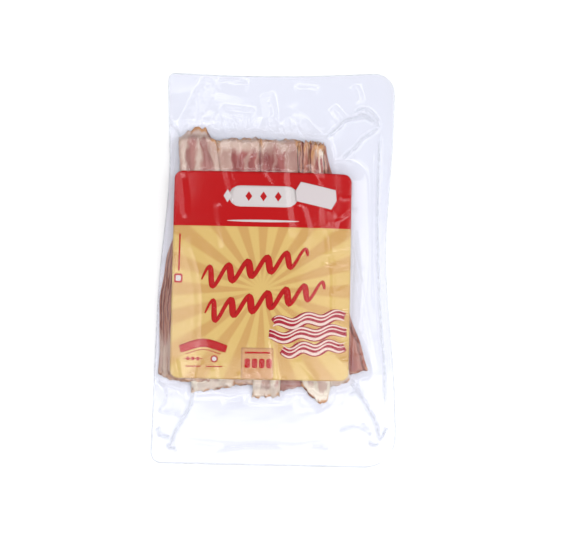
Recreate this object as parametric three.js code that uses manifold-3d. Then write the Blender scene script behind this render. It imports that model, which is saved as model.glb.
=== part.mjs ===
// Vacuum pack of sliced bacon, lying on its back with the printed side up.
// The sealed film is hugged tight over a fan of slices, so pouch and contents are one solid: a flat
// wavy rim all round, a bulge with the slices' ends stepping down to it, and the folds where the
// formed cavity gave way at its corners. The printed card lies in a shallow recess of that bulge,
// and a small price sticker lies on top. Millimetres, +X to the pack's right, +Y to its top, +Z up.
import * as THREE from "three";
import { mergeVertices } from "three/addons/utils/BufferGeometryUtils.js";
import Module from "manifold-3d";

// Driving dimensions of the pouch
const PACK_WIDTH = 146.6;
const PACK_LENGTH = 245;
const PACK_TAPER = 0.034;
const CORNER_RADII = { topLeft: 5, topRight: 14, bottomLeft: 7, bottomRight: 20 };
const SIDE_BOWS = {
  left: { depth: 3.8, at: 55, reach: 45 },
  right: { depth: 5.9, at: 6, reach: 60 },
};
const TOP_SLANT = 2.6;
const TOP_DIP = 2.2;
const RIM_THICKNESS = 0.8;
const RIM_LEVEL = 1.15;
const RIM_WAVE = { height: 0.55, across: 23, along: 61, start: 0.8, crossAlong: 37, crossAcross: 90 };
const CORNER_LIFT = { height: 1.4, x: 30, acrossReach: 60, y: 70, alongReach: 70 };
const FILM_SKIRT = { reach: 3.4, power: 1.4 };
const BLEND = 1.1;

// Under the slices the lower face sinks to this level, over this reach, and a flat cut ends it at 0.
const SUNKEN = { level: -3, reach: 6 };
const CUT_HEIGHT = 60;

// The slices that set the bulge, from the lowest to the topmost: the middle of the top and bottom
// ends in plan, the width, and the height of the upper face above the surface that the pack lies on.
const SLICES = [
  { top: [15, 74], bottom: [44, -65], width: 27, height: 5.2 },
  { top: [-49.5, 77], bottom: [-58.5, -68], width: 25, height: 6.4 },
  { top: [15.5, 76], bottom: [39, -74], width: 20, height: 7.2 },
  { top: [-38.5, 77], bottom: [-38, -78], width: 27, height: 7.8 },
  { top: [-11, 77], bottom: [-3, -80], width: 22, height: 8.4 },
  { top: [8.5, 77], bottom: [26.5, -83], width: 19, height: 8.8 },
  { top: [-49.5, 85], bottom: [-48, -59], width: 25, height: 9.6 },
  { top: [19.5, 77.5], bottom: [22.5, -59], width: 18, height: 9.4 },
  { top: [-12, 79], bottom: [-10, -61], width: 44, height: 10.2 },
];

// Folds of the collapsed cavity: a route in plan, its height over the rim and its half width.
const FOLDS = [
  { route: [[26, 78], [33, 88], [41, 94], [49, 96], [56, 90]], height: 2.0, reach: 3.0 },
  { route: [[38, 64], [48, 77], [57, 88]], height: 1.7, reach: 2.6 },
  { route: [[57, 90], [61, 43], [63, -19], [65, -99]], height: 1.5, reach: 2.6 },
  { route: [[-50, -78], [-54, -91], [-60, -101], [-63, -107]], height: 2.2, reach: 3.0 },
  { route: [[48, -71], [57, -88], [65, -102]], height: 2.2, reach: 3.2 },
  { route: [[-61, -108], [0, -111], [59, -105]], height: 0.8, reach: 2.8 },
  { route: [[-61, 84], [-55, 97], [-50, 111]], height: 1.6, reach: 3.0 },
];

// The printed card under the film, and the price sticker on it
const LABEL = { x: -9.7, y: -5.8, width: 109, length: 127, radius: 5, crown: 11.3, thickness: 0.6 };
const LABEL_FALL = { side: 2.1, centre: -14, halfWidth: 56, end: 1.2, halfLength: 65 };
const LABEL_DROOP = { height: 2.6, x: 24, acrossReach: 22, y: -15, alongReach: 60 };
const STICKER = { x: 22.9, y: 43.8, width: 22, length: 12.3, endBulge: 2, turn: -0.21, thickness: 0.5 };
const GAP = 0.3;

// Lattices: bands that each run to a place, in cells of about a step.
const POUCH_ACROSS = [
  { to: -60, step: 2.6 },
  { to: 42, step: 5.8 },
  { to: PACK_WIDTH / 2, step: 2.6 },
];
const POUCH_ALONG = [
  { to: -66, step: 3.2 },
  { to: 58, step: 6.5 },
  { to: 92, step: 2.8 },
  { to: PACK_LENGTH / 2, step: 4 },
];
const CARD_STEP = 8.5;
const STICKER_STEP = 2;

const ramp = (t) => THREE.MathUtils.smoothstep(t, 0, 1);
const softMax = (a, b, radius) => {
  const share = Math.max(radius - Math.abs(a - b), 0) / radius;
  return Math.max(a, b) + share * share * radius * 0.25;
};

// Positions of the lattice lines along one direction, from bands of { to, step }.
function latticeLines(start, bands) {
  const lines = [start];
  for (const { to, step } of bands) {
    const from = lines[lines.length - 1];
    const cells = Math.max(1, Math.round((to - from) / step));
    for (let n = 1; n <= cells; n++) lines.push(from + ((to - from) * n) / cells);
  }
  return lines;
}

// Moves a point of a width by length rectangle so that its four corner squares become quarter discs.
function roundCorner(x, y, width, length, radii) {
  const side = x < 0 ? "Left" : "Right";
  const radius = radii[(y < 0 ? "bottom" : "top") + side];
  const s = (Math.abs(x) - (width / 2 - radius)) / radius;
  const t = (Math.abs(y) - (length / 2 - radius)) / radius;
  if (s <= 0 || t <= 0) return [x, y];
  return [
    Math.sign(x) * (width / 2 - radius + radius * s * Math.sqrt(1 - (t * t) / 2)),
    Math.sign(y) * (length / 2 - radius + radius * t * Math.sqrt(1 - (s * s) / 2)),
  ];
}

// The pack's plan: rounded corners, a narrower head, sides drawn in at their waists, and a top edge
// that dips and slants.
function packPlace(x, y) {
  const [rx, ry] = roundCorner(x, y, PACK_WIDTH, PACK_LENGTH, CORNER_RADII);
  const along = (2 * ry) / PACK_LENGTH;
  const across = (2 * rx) / PACK_WIDTH;
  const { depth, at, reach } = across < 0 ? SIDE_BOWS.left : SIDE_BOWS.right;
  const bow = depth * Math.exp(-(((ry - at) / reach) ** 2)) * across ** 3;
  const upper = Math.max(along, 0) ** 2;
  const dip = upper * (TOP_SLANT * (across - 1) * 0.5 - TOP_DIP * (1 - across * across));
  return [rx * (1 - PACK_TAPER * along) - bow, ry + dip];
}

// How far a point lies inside a slice's edge, in plan; negative outside it.
function insideSlice(x, y, { top, bottom, width }) {
  const axis = new THREE.Vector2(top[0] - bottom[0], top[1] - bottom[1]);
  const halfLength = axis.length() / 2;
  axis.normalize();
  const dx = x - (top[0] + bottom[0]) / 2;
  const dy = y - (top[1] + bottom[1]) / 2;
  const over = [
    Math.abs(dx * axis.x + dy * axis.y) - halfLength,
    Math.abs(dx * axis.y - dy * axis.x) - width / 2,
  ];
  const outside = Math.hypot(Math.max(over[0], 0), Math.max(over[1], 0));
  return outside > 0 ? -outside : -Math.max(over[0], over[1]);
}

// How far a point lies inside the card's edge, in plan.
function insideLabel(x, y) {
  const over = [
    Math.abs(x - LABEL.x) - LABEL.width / 2 + LABEL.radius,
    Math.abs(y - LABEL.y) - LABEL.length / 2 + LABEL.radius,
  ];
  const outside = Math.hypot(Math.max(over[0], 0), Math.max(over[1], 0));
  return LABEL.radius - (outside > 0 ? outside : Math.max(over[0], over[1]));
}

// Film stretched from an edge at the given height down to the rim.
const hug = (inside, height) =>
  height * Math.exp(-((Math.max(-inside, 0) / FILM_SKIRT.reach) ** FILM_SKIRT.power));

// Share of a local lift or droop at a point: nothing left of or below its place, all of it past its reach.
const cornerShare = (x, y, at) => ramp((x - at.x) / at.acrossReach) * ramp((y - at.y) / at.alongReach);

// Upper face of the card: crowned over the slices, and drooping where no slice lies below it.
function labelTop(x, y) {
  const across = (x - LABEL_FALL.centre) / LABEL_FALL.halfWidth;
  const along = (y - LABEL.y) / LABEL_FALL.halfLength;
  const droop = LABEL_DROOP.height * cornerShare(x, y, LABEL_DROOP);
  return LABEL.crown - LABEL_FALL.side * across ** 2 - LABEL_FALL.end * along ** 2 - droop;
}

// Height of the rim's lower face: a slow wave, with the upper right corner lifted.
function rimBottom(x, y) {
  const { height, across, along, start, crossAlong, crossAcross } = RIM_WAVE;
  const wave = Math.sin(x / across + y / along + start) * Math.cos(y / crossAlong - x / crossAcross);
  return RIM_LEVEL + height * wave + CORNER_LIFT.height * cornerShare(x, y, CORNER_LIFT);
}

const foldLines = FOLDS.map(({ route, height, reach }) => {
  const points = route.map(([x, y]) => new THREE.Vector3(x, y, 0));
  return { points: new THREE.CatmullRomCurve3(points).getPoints(16), height, reach };
});

// Height that the folds add to the film at a point: ridges with a rounded back.
function foldRise(x, y) {
  const here = new THREE.Vector3(x, y, 0);
  const nearest = new THREE.Vector3();
  const stretch = new THREE.Line3();
  return foldLines.reduce((highest, { points, height, reach }) => {
    for (let n = 1; n < points.length; n++) {
      stretch.set(points[n - 1], points[n]).closestPointToPoint(here, true, nearest);
      const share = Math.max(1 - nearest.distanceTo(here) / reach, 0);
      highest = Math.max(highest, height * ramp(share));
    }
    return highest;
  }, 0);
}

// Upper face of the sealed film: rim and folds, with the slices and the card pushing it up.
function filmTop(x, y) {
  const rim = rimBottom(x, y) + RIM_THICKNESS + foldRise(x, y);
  const overSlices = SLICES.reduce(
    (height, slice) => softMax(height, hug(insideSlice(x, y, slice), slice.height), BLEND),
    rim,
  );
  return softMax(overSlices, hug(insideLabel(x, y), labelTop(x, y)), BLEND);
}

// Lower face of the film: the rim, sinking below the surface under the slices, where a flat cut ends it.
function filmBottom(x, y) {
  const inside = Math.max(...SLICES.map((slice) => insideSlice(x, y, slice)));
  return THREE.MathUtils.lerp(rimBottom(x, y), SUNKEN.level, ramp(1 + inside / SUNKEN.reach));
}

// A closed sheet over a lattice: place() gives each lattice point's plan, bottom() and top() its faces.
function sheet(xLines, yLines, place, bottom, top) {
  const columns = xLines.length - 1;
  const rows = yLines.length - 1;
  const box = new THREE.BoxGeometry(columns, rows, 1, columns, rows, 1);
  box.translate(columns / 2, rows / 2, 0.5);
  box.deleteAttribute("normal");
  box.deleteAttribute("uv");
  const geometry = mergeVertices(box);
  const position = geometry.getAttribute("position");
  for (let n = 0; n < position.count; n++) {
    const upper = position.getZ(n) > 0.5;
    const [x, y] = place(xLines[Math.round(position.getX(n))], yLines[Math.round(position.getY(n))]);
    position.setXYZ(n, x, y, upper ? top(x, y) : bottom(x, y));
  }
  return geometry;
}

const wasm = await Module();
wasm.setup();

function solidOf(geometry) {
  return new wasm.Manifold(
    new wasm.Mesh({
      numProp: 3,
      vertProperties: new Float32Array(geometry.getAttribute("position").array),
      triVerts: new Uint32Array(geometry.index.array),
    }),
  );
}

function geometryOf(solid) {
  const mesh = solid.getMesh();
  return new THREE.BufferGeometry()
    .setAttribute("position", new THREE.BufferAttribute(mesh.vertProperties, 3))
    .setIndex(new THREE.BufferAttribute(mesh.triVerts, 1));
}

// A sheet with the card's plan, grown by a margin, between two faces.
function labelSheet(margin, bottom, top) {
  const width = LABEL.width + 2 * margin;
  const length = LABEL.length + 2 * margin;
  const radius = LABEL.radius + margin;
  const radii = { topLeft: radius, topRight: radius, bottomLeft: radius, bottomRight: radius };
  const lines = (size) =>
    latticeLines(-size / 2, [
      { to: -size / 2 + radius, step: radius / 2 },
      { to: size / 2 - radius, step: CARD_STEP },
      { to: size / 2, step: radius / 2 },
    ]);
  const place = (x, y) => {
    const [rx, ry] = roundCorner(x, y, width, length, radii);
    return [LABEL.x + rx, LABEL.y + ry];
  };
  return sheet(lines(width), lines(length), place, bottom, top);
}

function pouchGeometry() {
  const xLines = latticeLines(-PACK_WIDTH / 2, POUCH_ACROSS);
  const yLines = latticeLines(-PACK_LENGTH / 2, POUCH_ALONG);
  const film = solidOf(sheet(xLines, yLines, packPlace, filmBottom, filmTop));
  const slab = new THREE.BoxGeometry(PACK_WIDTH * 1.2, PACK_LENGTH * 1.2, CUT_HEIGHT);
  slab.translate(0, 0, CUT_HEIGHT / 2);
  slab.deleteAttribute("normal");
  slab.deleteAttribute("uv");
  const aboveSurface = solidOf(mergeVertices(slab));
  const recess = labelSheet(GAP, (x, y) => labelTop(x, y) - LABEL.thickness - GAP, () => CUT_HEIGHT);
  return geometryOf(film.intersect(aboveSurface).subtract(solidOf(recess)));
}

function labelGeometry() {
  return labelSheet(0, (x, y) => labelTop(x, y) - LABEL.thickness, labelTop);
}

// The sticker's two short ends bulge to a blunt point, as a price gun's die cuts them.
function stickerGeometry() {
  const { x: cx, y: cy, width, length, endBulge, turn, thickness } = STICKER;
  const xLines = latticeLines(-width / 2, [{ to: width / 2, step: STICKER_STEP }]);
  const yLines = latticeLines(-length / 2, [{ to: length / 2, step: STICKER_STEP }]);
  const place = (x, y) => {
    const bulge = 1 + (2 * endBulge * (1 - Math.abs((2 * y) / length))) / width;
    const turned = new THREE.Vector2(x * bulge, y).rotateAround(new THREE.Vector2(), turn);
    return [cx + turned.x, cy + turned.y];
  };
  const under = (x, y) => labelTop(x, y) + GAP;
  return sheet(xLines, yLines, place, under, (x, y) => under(x, y) + thickness);
}

function named(name, geometry, color, roughness) {
  const material = new THREE.MeshStandardMaterial({ color, roughness, metalness: 0 });
  const mesh = new THREE.Mesh(geometry, material);
  mesh.name = name;
  return mesh;
}

const baconPack = new THREE.Group();
baconPack.add(
  named("pouch", pouchGeometry(), "#d9b4ac", 0.2),
  named("label", labelGeometry(), "#dcbb73", 0.35),
  named("price_sticker", stickerGeometry(), "#d8d2d3", 0.7),
);

export default baconPack;
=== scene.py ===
"""Clear vacuum pack of sliced bacon, lying on its back with its printed card up.

Sizes are in millimetres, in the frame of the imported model: X to the pack's right, Y to its top edge
and Z up. A piece is shaped in them, and its mesh is scaled to metres last of all.
"""

import logging
import math
from dataclasses import dataclass
from enum import Enum
from typing import Any, Callable, NamedTuple

import bmesh
import bpy
import numpy as np
from mathutils import Matrix, Vector


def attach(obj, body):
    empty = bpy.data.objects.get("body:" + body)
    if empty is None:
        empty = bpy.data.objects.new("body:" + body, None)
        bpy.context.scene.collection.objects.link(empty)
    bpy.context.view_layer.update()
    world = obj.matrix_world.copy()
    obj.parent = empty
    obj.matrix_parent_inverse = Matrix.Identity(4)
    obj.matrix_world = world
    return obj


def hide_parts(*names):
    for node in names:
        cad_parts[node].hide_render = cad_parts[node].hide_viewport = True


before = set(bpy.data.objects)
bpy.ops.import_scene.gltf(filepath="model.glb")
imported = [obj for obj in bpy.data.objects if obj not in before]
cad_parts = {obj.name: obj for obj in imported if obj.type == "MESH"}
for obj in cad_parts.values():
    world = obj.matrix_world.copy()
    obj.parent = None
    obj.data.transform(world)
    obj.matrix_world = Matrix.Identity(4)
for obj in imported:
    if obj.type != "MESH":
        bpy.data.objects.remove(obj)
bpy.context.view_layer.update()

MM = 0.001
BODY = "root"
UV_NAME = "rasher_plan"
RASHER_LAYERS = (
    "rasher_seed",
    "leanness",
    "creaminess",
    "browning",
    "rind_strength",
    "end_fat",
    "edge_distance",
    "end_distance",
)
# Vertex attribute with the strength of the painted shade along the film's folds and cut edge.
CREASE_LAYER = "crease"
LOG = logging.getLogger("bacon_pack")

Array = np.ndarray
Point = tuple[float, float]
Colour = tuple[float, float, float, float]


def linear(red: int, green: int, blue: int) -> Colour:
    """A screen colour as the linear colour that a shader takes.

    Args:
        red: Red from 0 to 255.
        green: Green from 0 to 255.
        blue: Blue from 0 to 255.

    Returns:
        The opaque linear colour.
    """

    def channel(value: int) -> float:
        """One channel, by the screen's own curve."""
        share = value / 255
        return share / 12.92 if share <= 0.04045 else ((share + 0.055) / 1.055) ** 2.4

    return channel(red), channel(green), channel(blue), 1.0


def ramp(value: Array | float, start: float = 0.0, end: float = 1.0) -> Array:
    """Smooth step from 0 at start to 1 at end.

    Args:
        value: Where the step is read.
        start: Value at which the step leaves 0.
        end: Value at which it arrives at 1.

    Returns:
        The step, as an array of value's shape.
    """
    share = np.clip((value - start) / (end - start), 0.0, 1.0)
    return share * share * (3 - 2 * share)


def soft_max(first: Array, second: Array, radius: float) -> Array:
    """The larger of two heights, with a fillet of about radius where they cross."""
    share = np.maximum(radius - np.abs(first - second), 0) / radius
    return np.maximum(first, second) + share * share * radius * 0.25


def smooth_route(points: list[Point], per_span: int = 6) -> Array:
    """A Catmull-Rom curve through points.

    Args:
        points: The points in plan, in order.
        per_span: Stretches between two of the points.

    Returns:
        The curve as rows of x and y.
    """
    given = np.array(points, dtype=float)
    if len(given) == 2:
        return given
    padded = np.vstack([2 * given[0] - given[1], given, 2 * given[-1] - given[-2]])
    t = np.linspace(0, 1, per_span, endpoint=False)[:, None]
    spans = [
        0.5 * (2 * b + (c - a) * t + (2 * a - 5 * b + 4 * c - d) * t**2 + (3 * b - a - 3 * c + d) * t**3)
        for a, b, c, d in zip(padded, padded[1:], padded[2:], padded[3:])
    ]
    return np.vstack([*spans, given[-1:]])


def route_distance(x: Array, y: Array, route: Array) -> tuple[Array, Array]:
    """How far each point lies from a route, and where along it the nearest place is.

    Args:
        x: Plan positions across the pack.
        y: Plan positions along the pack.
        route: The route as rows of x and y.

    Returns:
        The distances, and the places from 0 at the route's start to 1 at its end.
    """
    steps = np.diff(route, axis=0)
    spans = np.hypot(steps[:, 0], steps[:, 1])
    total, done = spans.sum(), 0.0
    best, along = np.full(x.shape, np.inf), np.zeros(x.shape)
    for (ax, ay), (dx, dy), span in zip(route, steps, spans):
        t = np.clip(((x - ax) * dx + (y - ay) * dy) / span**2, 0, 1)
        gap = np.hypot(x - ax - t * dx, y - ay - t * dy)
        nearer = gap < best
        along = np.where(nearer, (done + t * span) / total, along)
        best = np.where(nearer, gap, best)
        done += span
    return best, along


def rounded(x: Array, y: Array, width: float, length: float, radii: tuple) -> tuple[Array, Array]:
    """Moves points of a rectangle so that its four corner squares become quarter discs.

    Args:
        x: Positions across, from minus half the width to half of it.
        y: Positions along, from minus half the length to half of it.
        width: The rectangle's size across.
        length: The rectangle's size along.
        radii: Radii of the top left, top right, bottom left and bottom right corners.

    Returns:
        The moved positions across and along.
    """
    top = np.where(x < 0, radii[0], radii[1])
    bottom = np.where(x < 0, radii[2], radii[3])
    radius = np.where(y < 0, bottom, top)
    s = (np.abs(x) - (width / 2 - radius)) / radius
    t = (np.abs(y) - (length / 2 - radius)) / radius
    corner = (s > 0) & (t > 0)
    bent_x = np.sign(x) * (width / 2 - radius + radius * s * np.sqrt(1 - np.clip(t, 0, 1) ** 2 / 2))
    bent_y = np.sign(y) * (length / 2 - radius + radius * t * np.sqrt(1 - np.clip(s, 0, 1) ** 2 / 2))
    return np.where(corner, bent_x, x), np.where(corner, bent_y, y)


def axes(top: Point, bottom: Point) -> tuple[Array, Array, float]:
    """Directions of a strip between the middles of its two ends.

    Args:
        top: The middle of its top end.
        bottom: The middle of its bottom end.

    Returns:
        The direction from bottom to top, the direction to the right, and the length.
    """
    along = np.array(top) - np.array(bottom)
    length = float(np.hypot(*along))
    along = along / length
    return along, np.array([along[1], -along[0]]), length


def inside_box(x: Array, y: Array, half_x: float, half_y: float, radius: float = 0.0) -> Array:
    """How far points lie inside a centred rectangle.

    Args:
        x: Positions across, from the rectangle's centre.
        y: Positions along, from its centre.
        half_x: Half of its width.
        half_y: Half of its length.
        radius: Radius of its corners.

    Returns:
        The distances, negative outside it.
    """
    over_x, over_y = np.abs(x) - half_x + radius, np.abs(y) - half_y + radius
    outside = np.hypot(np.maximum(over_x, 0), np.maximum(over_y, 0))
    return radius - np.where(outside > 0, outside, np.maximum(over_x, over_y))


@dataclass
class Spots:
    """Vertices of a sheet: their share across and along it, and their place in plan."""

    s: Array
    t: Array
    x: Array
    y: Array


@dataclass(frozen=True)
class Sheet:
    """A closed sheet: a lattice laid out in plan, between a lower and an upper face."""

    columns: int
    rows: int
    place: Callable[[Array, Array], tuple[Array, Array]]
    lower: Callable[[Spots], Array]
    upper: Callable[[Spots], Array]

    def add_to(self, bm: bmesh.types.BMesh, layers: dict[str, Callable] | None = None) -> None:
        """Adds the sheet to a mesh that is being shaped.

        Args:
            bm: The mesh, in millimetres.
            layers: Vertex attributes to write, by name, with what works each one out.
        """
        uv = bm.loops.layers.uv.verify()
        kept = bm.verts.layers.float
        floats = {name: kept.get(name) or kept.new(name) for name in layers or {}}
        grid = bmesh.ops.create_grid(bm, x_segments=self.columns, y_segments=self.rows, size=0.5)
        made = grid["verts"]
        flat = np.array([v.co[:2] for v in made])
        s, t = flat[:, 0] + 0.5, flat[:, 1] + 0.5
        spots = Spots(s, t, *self.place(s, t))
        for v, x, y, z in zip(made, spots.x, spots.y, self.lower(spots)):
            v.co = (x, y, z)
        for name, layer in floats.items():
            for v, value in zip(made, layers[name](spots)):
                v[layer] = value
        tops = dict(zip(made, zip(self.upper(spots), s, t)))
        faces = list(dict.fromkeys(f for v in made for f in v.link_faces))
        for f in faces:
            for loop in f.loops:
                loop[uv].uv = tops[loop.vert][1:]
        order = {tuple(v.co): v for v in made}
        grown = bmesh.ops.extrude_face_region(bm, geom=faces, use_keep_orig=True)["geom"]
        new = [g for g in grown if isinstance(g, bmesh.types.BMVert)]
        for v in new:
            v.co.z = tops[order[tuple(v.co)]][0]


def linked(name: str, data: bpy.types.ID) -> bpy.types.Object:
    """A new object of the scene.

    Args:
        name: Its name.
        data: Its mesh, light or camera.

    Returns:
        The object.
    """
    made = bpy.data.objects.new(name, data)
    bpy.context.collection.objects.link(made)
    return made


def finished(
    bm: bmesh.types.BMesh, name: str, material: bpy.types.Material
) -> bpy.types.Object:
    """Turns a shaped mesh into a piece that rides with the pack.

    Args:
        bm: The mesh in millimetres, which is freed.
        name: The piece's name.
        material: Its finish.

    Returns:
        The piece, with its place in its mesh.
    """
    bmesh.ops.recalc_face_normals(bm, faces=bm.faces)
    bmesh.ops.scale(bm, vec=(MM, MM, MM), verts=bm.verts)
    mesh = bpy.data.meshes.new(name)
    bm.to_mesh(mesh)
    bm.free()
    mesh.uv_layers[0].name = UV_NAME
    mesh.polygons.foreach_set("use_smooth", [True] * len(mesh.polygons))
    mesh.materials.append(material)
    piece = linked(name, mesh)
    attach(piece, BODY)
    LOG.info("%s: %d faces", name, len(mesh.polygons))
    return piece


class Graph:
    """A shader or group tree, with one short call for each node."""

    def __init__(self, tree: bpy.types.NodeTree) -> None:
        """Takes the tree as it is."""
        self.tree = tree

    def node(self, kind: str, inputs: dict | None = None, **settings: Any) -> bpy.types.Node:
        """Adds a node.

        Args:
            kind: The node's type name.
            inputs: Values or sockets for its inputs, by name or number.
            **settings: Properties of the node itself.

        Returns:
            The node.
        """
        made = self.tree.nodes.new(kind)
        for name, value in settings.items():
            setattr(made, name, value)
        for name, value in (inputs or {}).items():
            if isinstance(value, bpy.types.NodeSocket):
                self.tree.links.new(value, made.inputs[name])
            else:
                made.inputs[name].default_value = value
        return made

    def math(self, operation: str, *values: Any, clamp: bool = False) -> bpy.types.NodeSocket:
        """The result of a Math node on up to three values or sockets."""
        made = self.node("ShaderNodeMath", dict(enumerate(values)), operation=operation, use_clamp=clamp)
        return made.outputs[0]

    def step(self, value: bpy.types.NodeSocket, start: float, end: float) -> bpy.types.NodeSocket:
        """A smooth step of value from 0 at start to 1 at end."""
        inputs = {"Value": value, "From Min": start, "From Max": end}
        return self.node("ShaderNodeMapRange", inputs, interpolation_type="SMOOTHSTEP").outputs[0]

    def mix(self, share: Any, first: Any, second: Any) -> bpy.types.NodeSocket:
        """A colour between first, at share 0, and second, at share 1."""
        inputs = {0: share, 6: first, 7: second}
        return self.node("ShaderNodeMix", inputs, data_type="RGBA").outputs[2]

    def noise(self, vector: Any, scale: Any, detail: float = 2.0) -> bpy.types.NodeSocket:
        """Noise from about 0 to 1 over a vector."""
        inputs = {"Vector": vector, "Scale": scale, "Detail": detail}
        return self.node("ShaderNodeTexNoise", inputs).outputs[0]

    def combine(self, x: Any, y: Any, z: Any) -> bpy.types.NodeSocket:
        """A vector from three values or sockets."""
        return self.node("ShaderNodeCombineXYZ", {0: x, 1: y, 2: z}).outputs[0]

    def place(self) -> bpy.types.NodeSocket:
        """Where a point of the surface lies, in the pack's own frame and in metres."""
        return self.node("ShaderNodeTexCoord").outputs["Object"]

    def attribute(self, name: str) -> bpy.types.NodeSocket:
        """A vertex attribute that a piece's mesh carries."""
        return self.node("ShaderNodeAttribute", attribute_name=name).outputs["Fac"]

    def shaded(self, colour: Any, shade: Any) -> bpy.types.NodeSocket:
        """A colour times a shade."""
        factors = {0: colour, 1: self.combine(shade, shade, shade)}
        return self.node("ShaderNodeVectorMath", factors, operation="MULTIPLY").outputs[0]

    def bump(self, height: Any, distance: float, strength: float = 1.0) -> bpy.types.NodeSocket:
        """The normals of a surface with relief."""
        inputs = {"Height": height, "Distance": distance, "Strength": strength}
        return self.node("ShaderNodeBump", inputs).outputs[0]

    def shader(self, kind: str, inputs: dict) -> bpy.types.NodeSocket:
        """A shader, by the end of its type name."""
        return self.node(f"ShaderNode{kind}", inputs).outputs[0]

    def show(self, shader: bpy.types.NodeSocket) -> None:
        """Makes a shader what the surface shows."""
        self.node("ShaderNodeOutputMaterial", {"Surface": shader})


def new_material(name: str) -> tuple[bpy.types.Material, Graph]:
    """An empty node material.

    Args:
        name: The material's name.

    Returns:
        The material and its graph.
    """
    material = bpy.data.materials.new(name)
    material.use_nodes = True
    material.node_tree.nodes.clear()
    return material, Graph(material.node_tree)


class PaperGrain:
    """The node group for the fine fibres that show in the card, its inks and the sticker's paper."""

    NAME = "paper_grain"
    FIBRE_OCTAVES = 4.0
    CLOUD_SCALE = 45.0
    MOTTLE = 0.08
    RELIEF = 0.00002

    @classmethod
    def tree(cls) -> bpy.types.NodeTree:
        """Builds the group on its first use.

        Returns:
            The group: Scale in, Shade and Height out.
        """
        if cls.NAME in bpy.data.node_groups:
            return bpy.data.node_groups[cls.NAME]
        tree = bpy.data.node_groups.new(cls.NAME, "ShaderNodeTree")
        tree.interface.new_socket("Scale", in_out="INPUT", socket_type="NodeSocketFloat")
        tree.interface.new_socket("Shade", in_out="OUTPUT", socket_type="NodeSocketFloat")
        tree.interface.new_socket("Height", in_out="OUTPUT", socket_type="NodeSocketFloat")
        graph = Graph(tree)
        given = graph.node("NodeGroupInput").outputs
        place = graph.place()
        fibres = graph.noise(place, given["Scale"], cls.FIBRE_OCTAVES)
        cloud = graph.noise(place, cls.CLOUD_SCALE)
        shade = graph.math("MULTIPLY_ADD", graph.math("ADD", fibres, cloud), cls.MOTTLE, 1 - cls.MOTTLE)
        graph.node("NodeGroupOutput", {"Shade": shade, "Height": fibres})
        return tree

    @classmethod
    def on(cls, graph: Graph, colour: Any, scale: float) -> dict[str, bpy.types.NodeSocket]:
        """Places the group in a graph.

        Args:
            graph: The graph of a paper or an ink.
            colour: Its colour, as a value or a socket.
            scale: How fine the fibres are.

        Returns:
            The mottled colour and the fibres' normals, as inputs of a Principled shader.
        """
        made = graph.node("ShaderNodeGroup", node_tree=cls.tree())
        made.inputs["Scale"].default_value = scale
        return {
            "Base Color": graph.shaded(colour, made.outputs["Shade"]),
            "Normal": graph.bump(made.outputs["Height"], cls.RELIEF),
        }


@dataclass(frozen=True)
class ClearFilm:
    """Finish of the sealed film: clear, glossy and a little milky, with painted shade, a grey diffuse
    colour, along its folds and its cut edge.
    """

    tint: Colour = (0.932, 0.937, 0.966, 1.0)
    milk: Colour = (0.86, 0.88, 0.96, 1.0)
    # Grey of the painted shade that darkens the film along its folds and its cut edge.
    painted_crease_shade: Colour = (0.56, 0.58, 0.64, 1.0)
    head_on: float = 0.042
    milkiness: float = 0.004
    crease_shade_strength: float = 0.32
    roughness: float = 0.13
    ripple_scale: float = 120.0
    ripple_depth: float = 0.00005
    ragged_scale: float = 520.0
    ragged_range: tuple[float, float] = (0.32, 0.60)
    raggedness: float = 0.6
    octaves: float = 3.0
    schlick_power: float = 5.0

    def build(self) -> bpy.types.Material:
        """Builds the material: a mirror that strengthens towards grazing views, over plain clearness.

        The mirror takes nothing from the light that falls through the film, so that a steep fold
        throws no shadow.

        Returns:
            The material, which reads the crease attribute that the film writes.
        """
        material, graph = new_material("clear_film")
        place = graph.place()
        normal = graph.bump(graph.noise(place, self.ripple_scale, self.octaves), self.ripple_depth)
        facing = graph.node("ShaderNodeLayerWeight", {"Blend": 0.5, "Normal": normal}).outputs["Facing"]
        grazing = graph.math("POWER", facing, self.schlick_power)
        mirrored = graph.math("MULTIPLY_ADD", grazing, 1 - self.head_on, self.head_on)
        for_light = graph.node("ShaderNodeLightPath").outputs["Is Shadow Ray"]
        share = graph.math("MULTIPLY", mirrored, graph.math("SUBTRACT", 1.0, for_light))
        clear = graph.shader("BsdfTransparent", {"Color": self.tint})
        look = {"Roughness": self.roughness, "Normal": normal, "Color": (1, 1, 1, 1)}
        gloss = graph.shader("MixShader", {0: share, 1: clear, 2: graph.shader("BsdfGlossy", look)})
        milk = graph.shader("BsdfDiffuse", {"Color": self.milk})
        milky = graph.shader("MixShader", {0: self.milkiness, 1: gloss, 2: milk})
        # Painted shade: the grey diffuse colour, broken up by noise, darkens the film where the crease
        # attribute is high.
        torn = graph.step(graph.noise(place, self.ragged_scale, self.octaves), *self.ragged_range)
        ragged = graph.math("MULTIPLY_ADD", torn, self.raggedness, 1 - self.raggedness)
        creased = graph.math("MULTIPLY", graph.attribute(CREASE_LAYER), ragged)
        crease_shaded = graph.math("MULTIPLY", creased, self.crease_shade_strength)
        painted_crease_shade = graph.shader("BsdfDiffuse", {"Color": self.painted_crease_shade})
        graph.show(graph.shader("MixShader", {0: crease_shaded, 1: milky, 2: painted_crease_shade}))
        return material


class Streak(NamedTuple):
    """A noise drawn out along a rasher: waves across and along it, where it is read, its octaves."""

    across: float
    along: float
    shift: float
    octaves: float = 2.0


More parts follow.
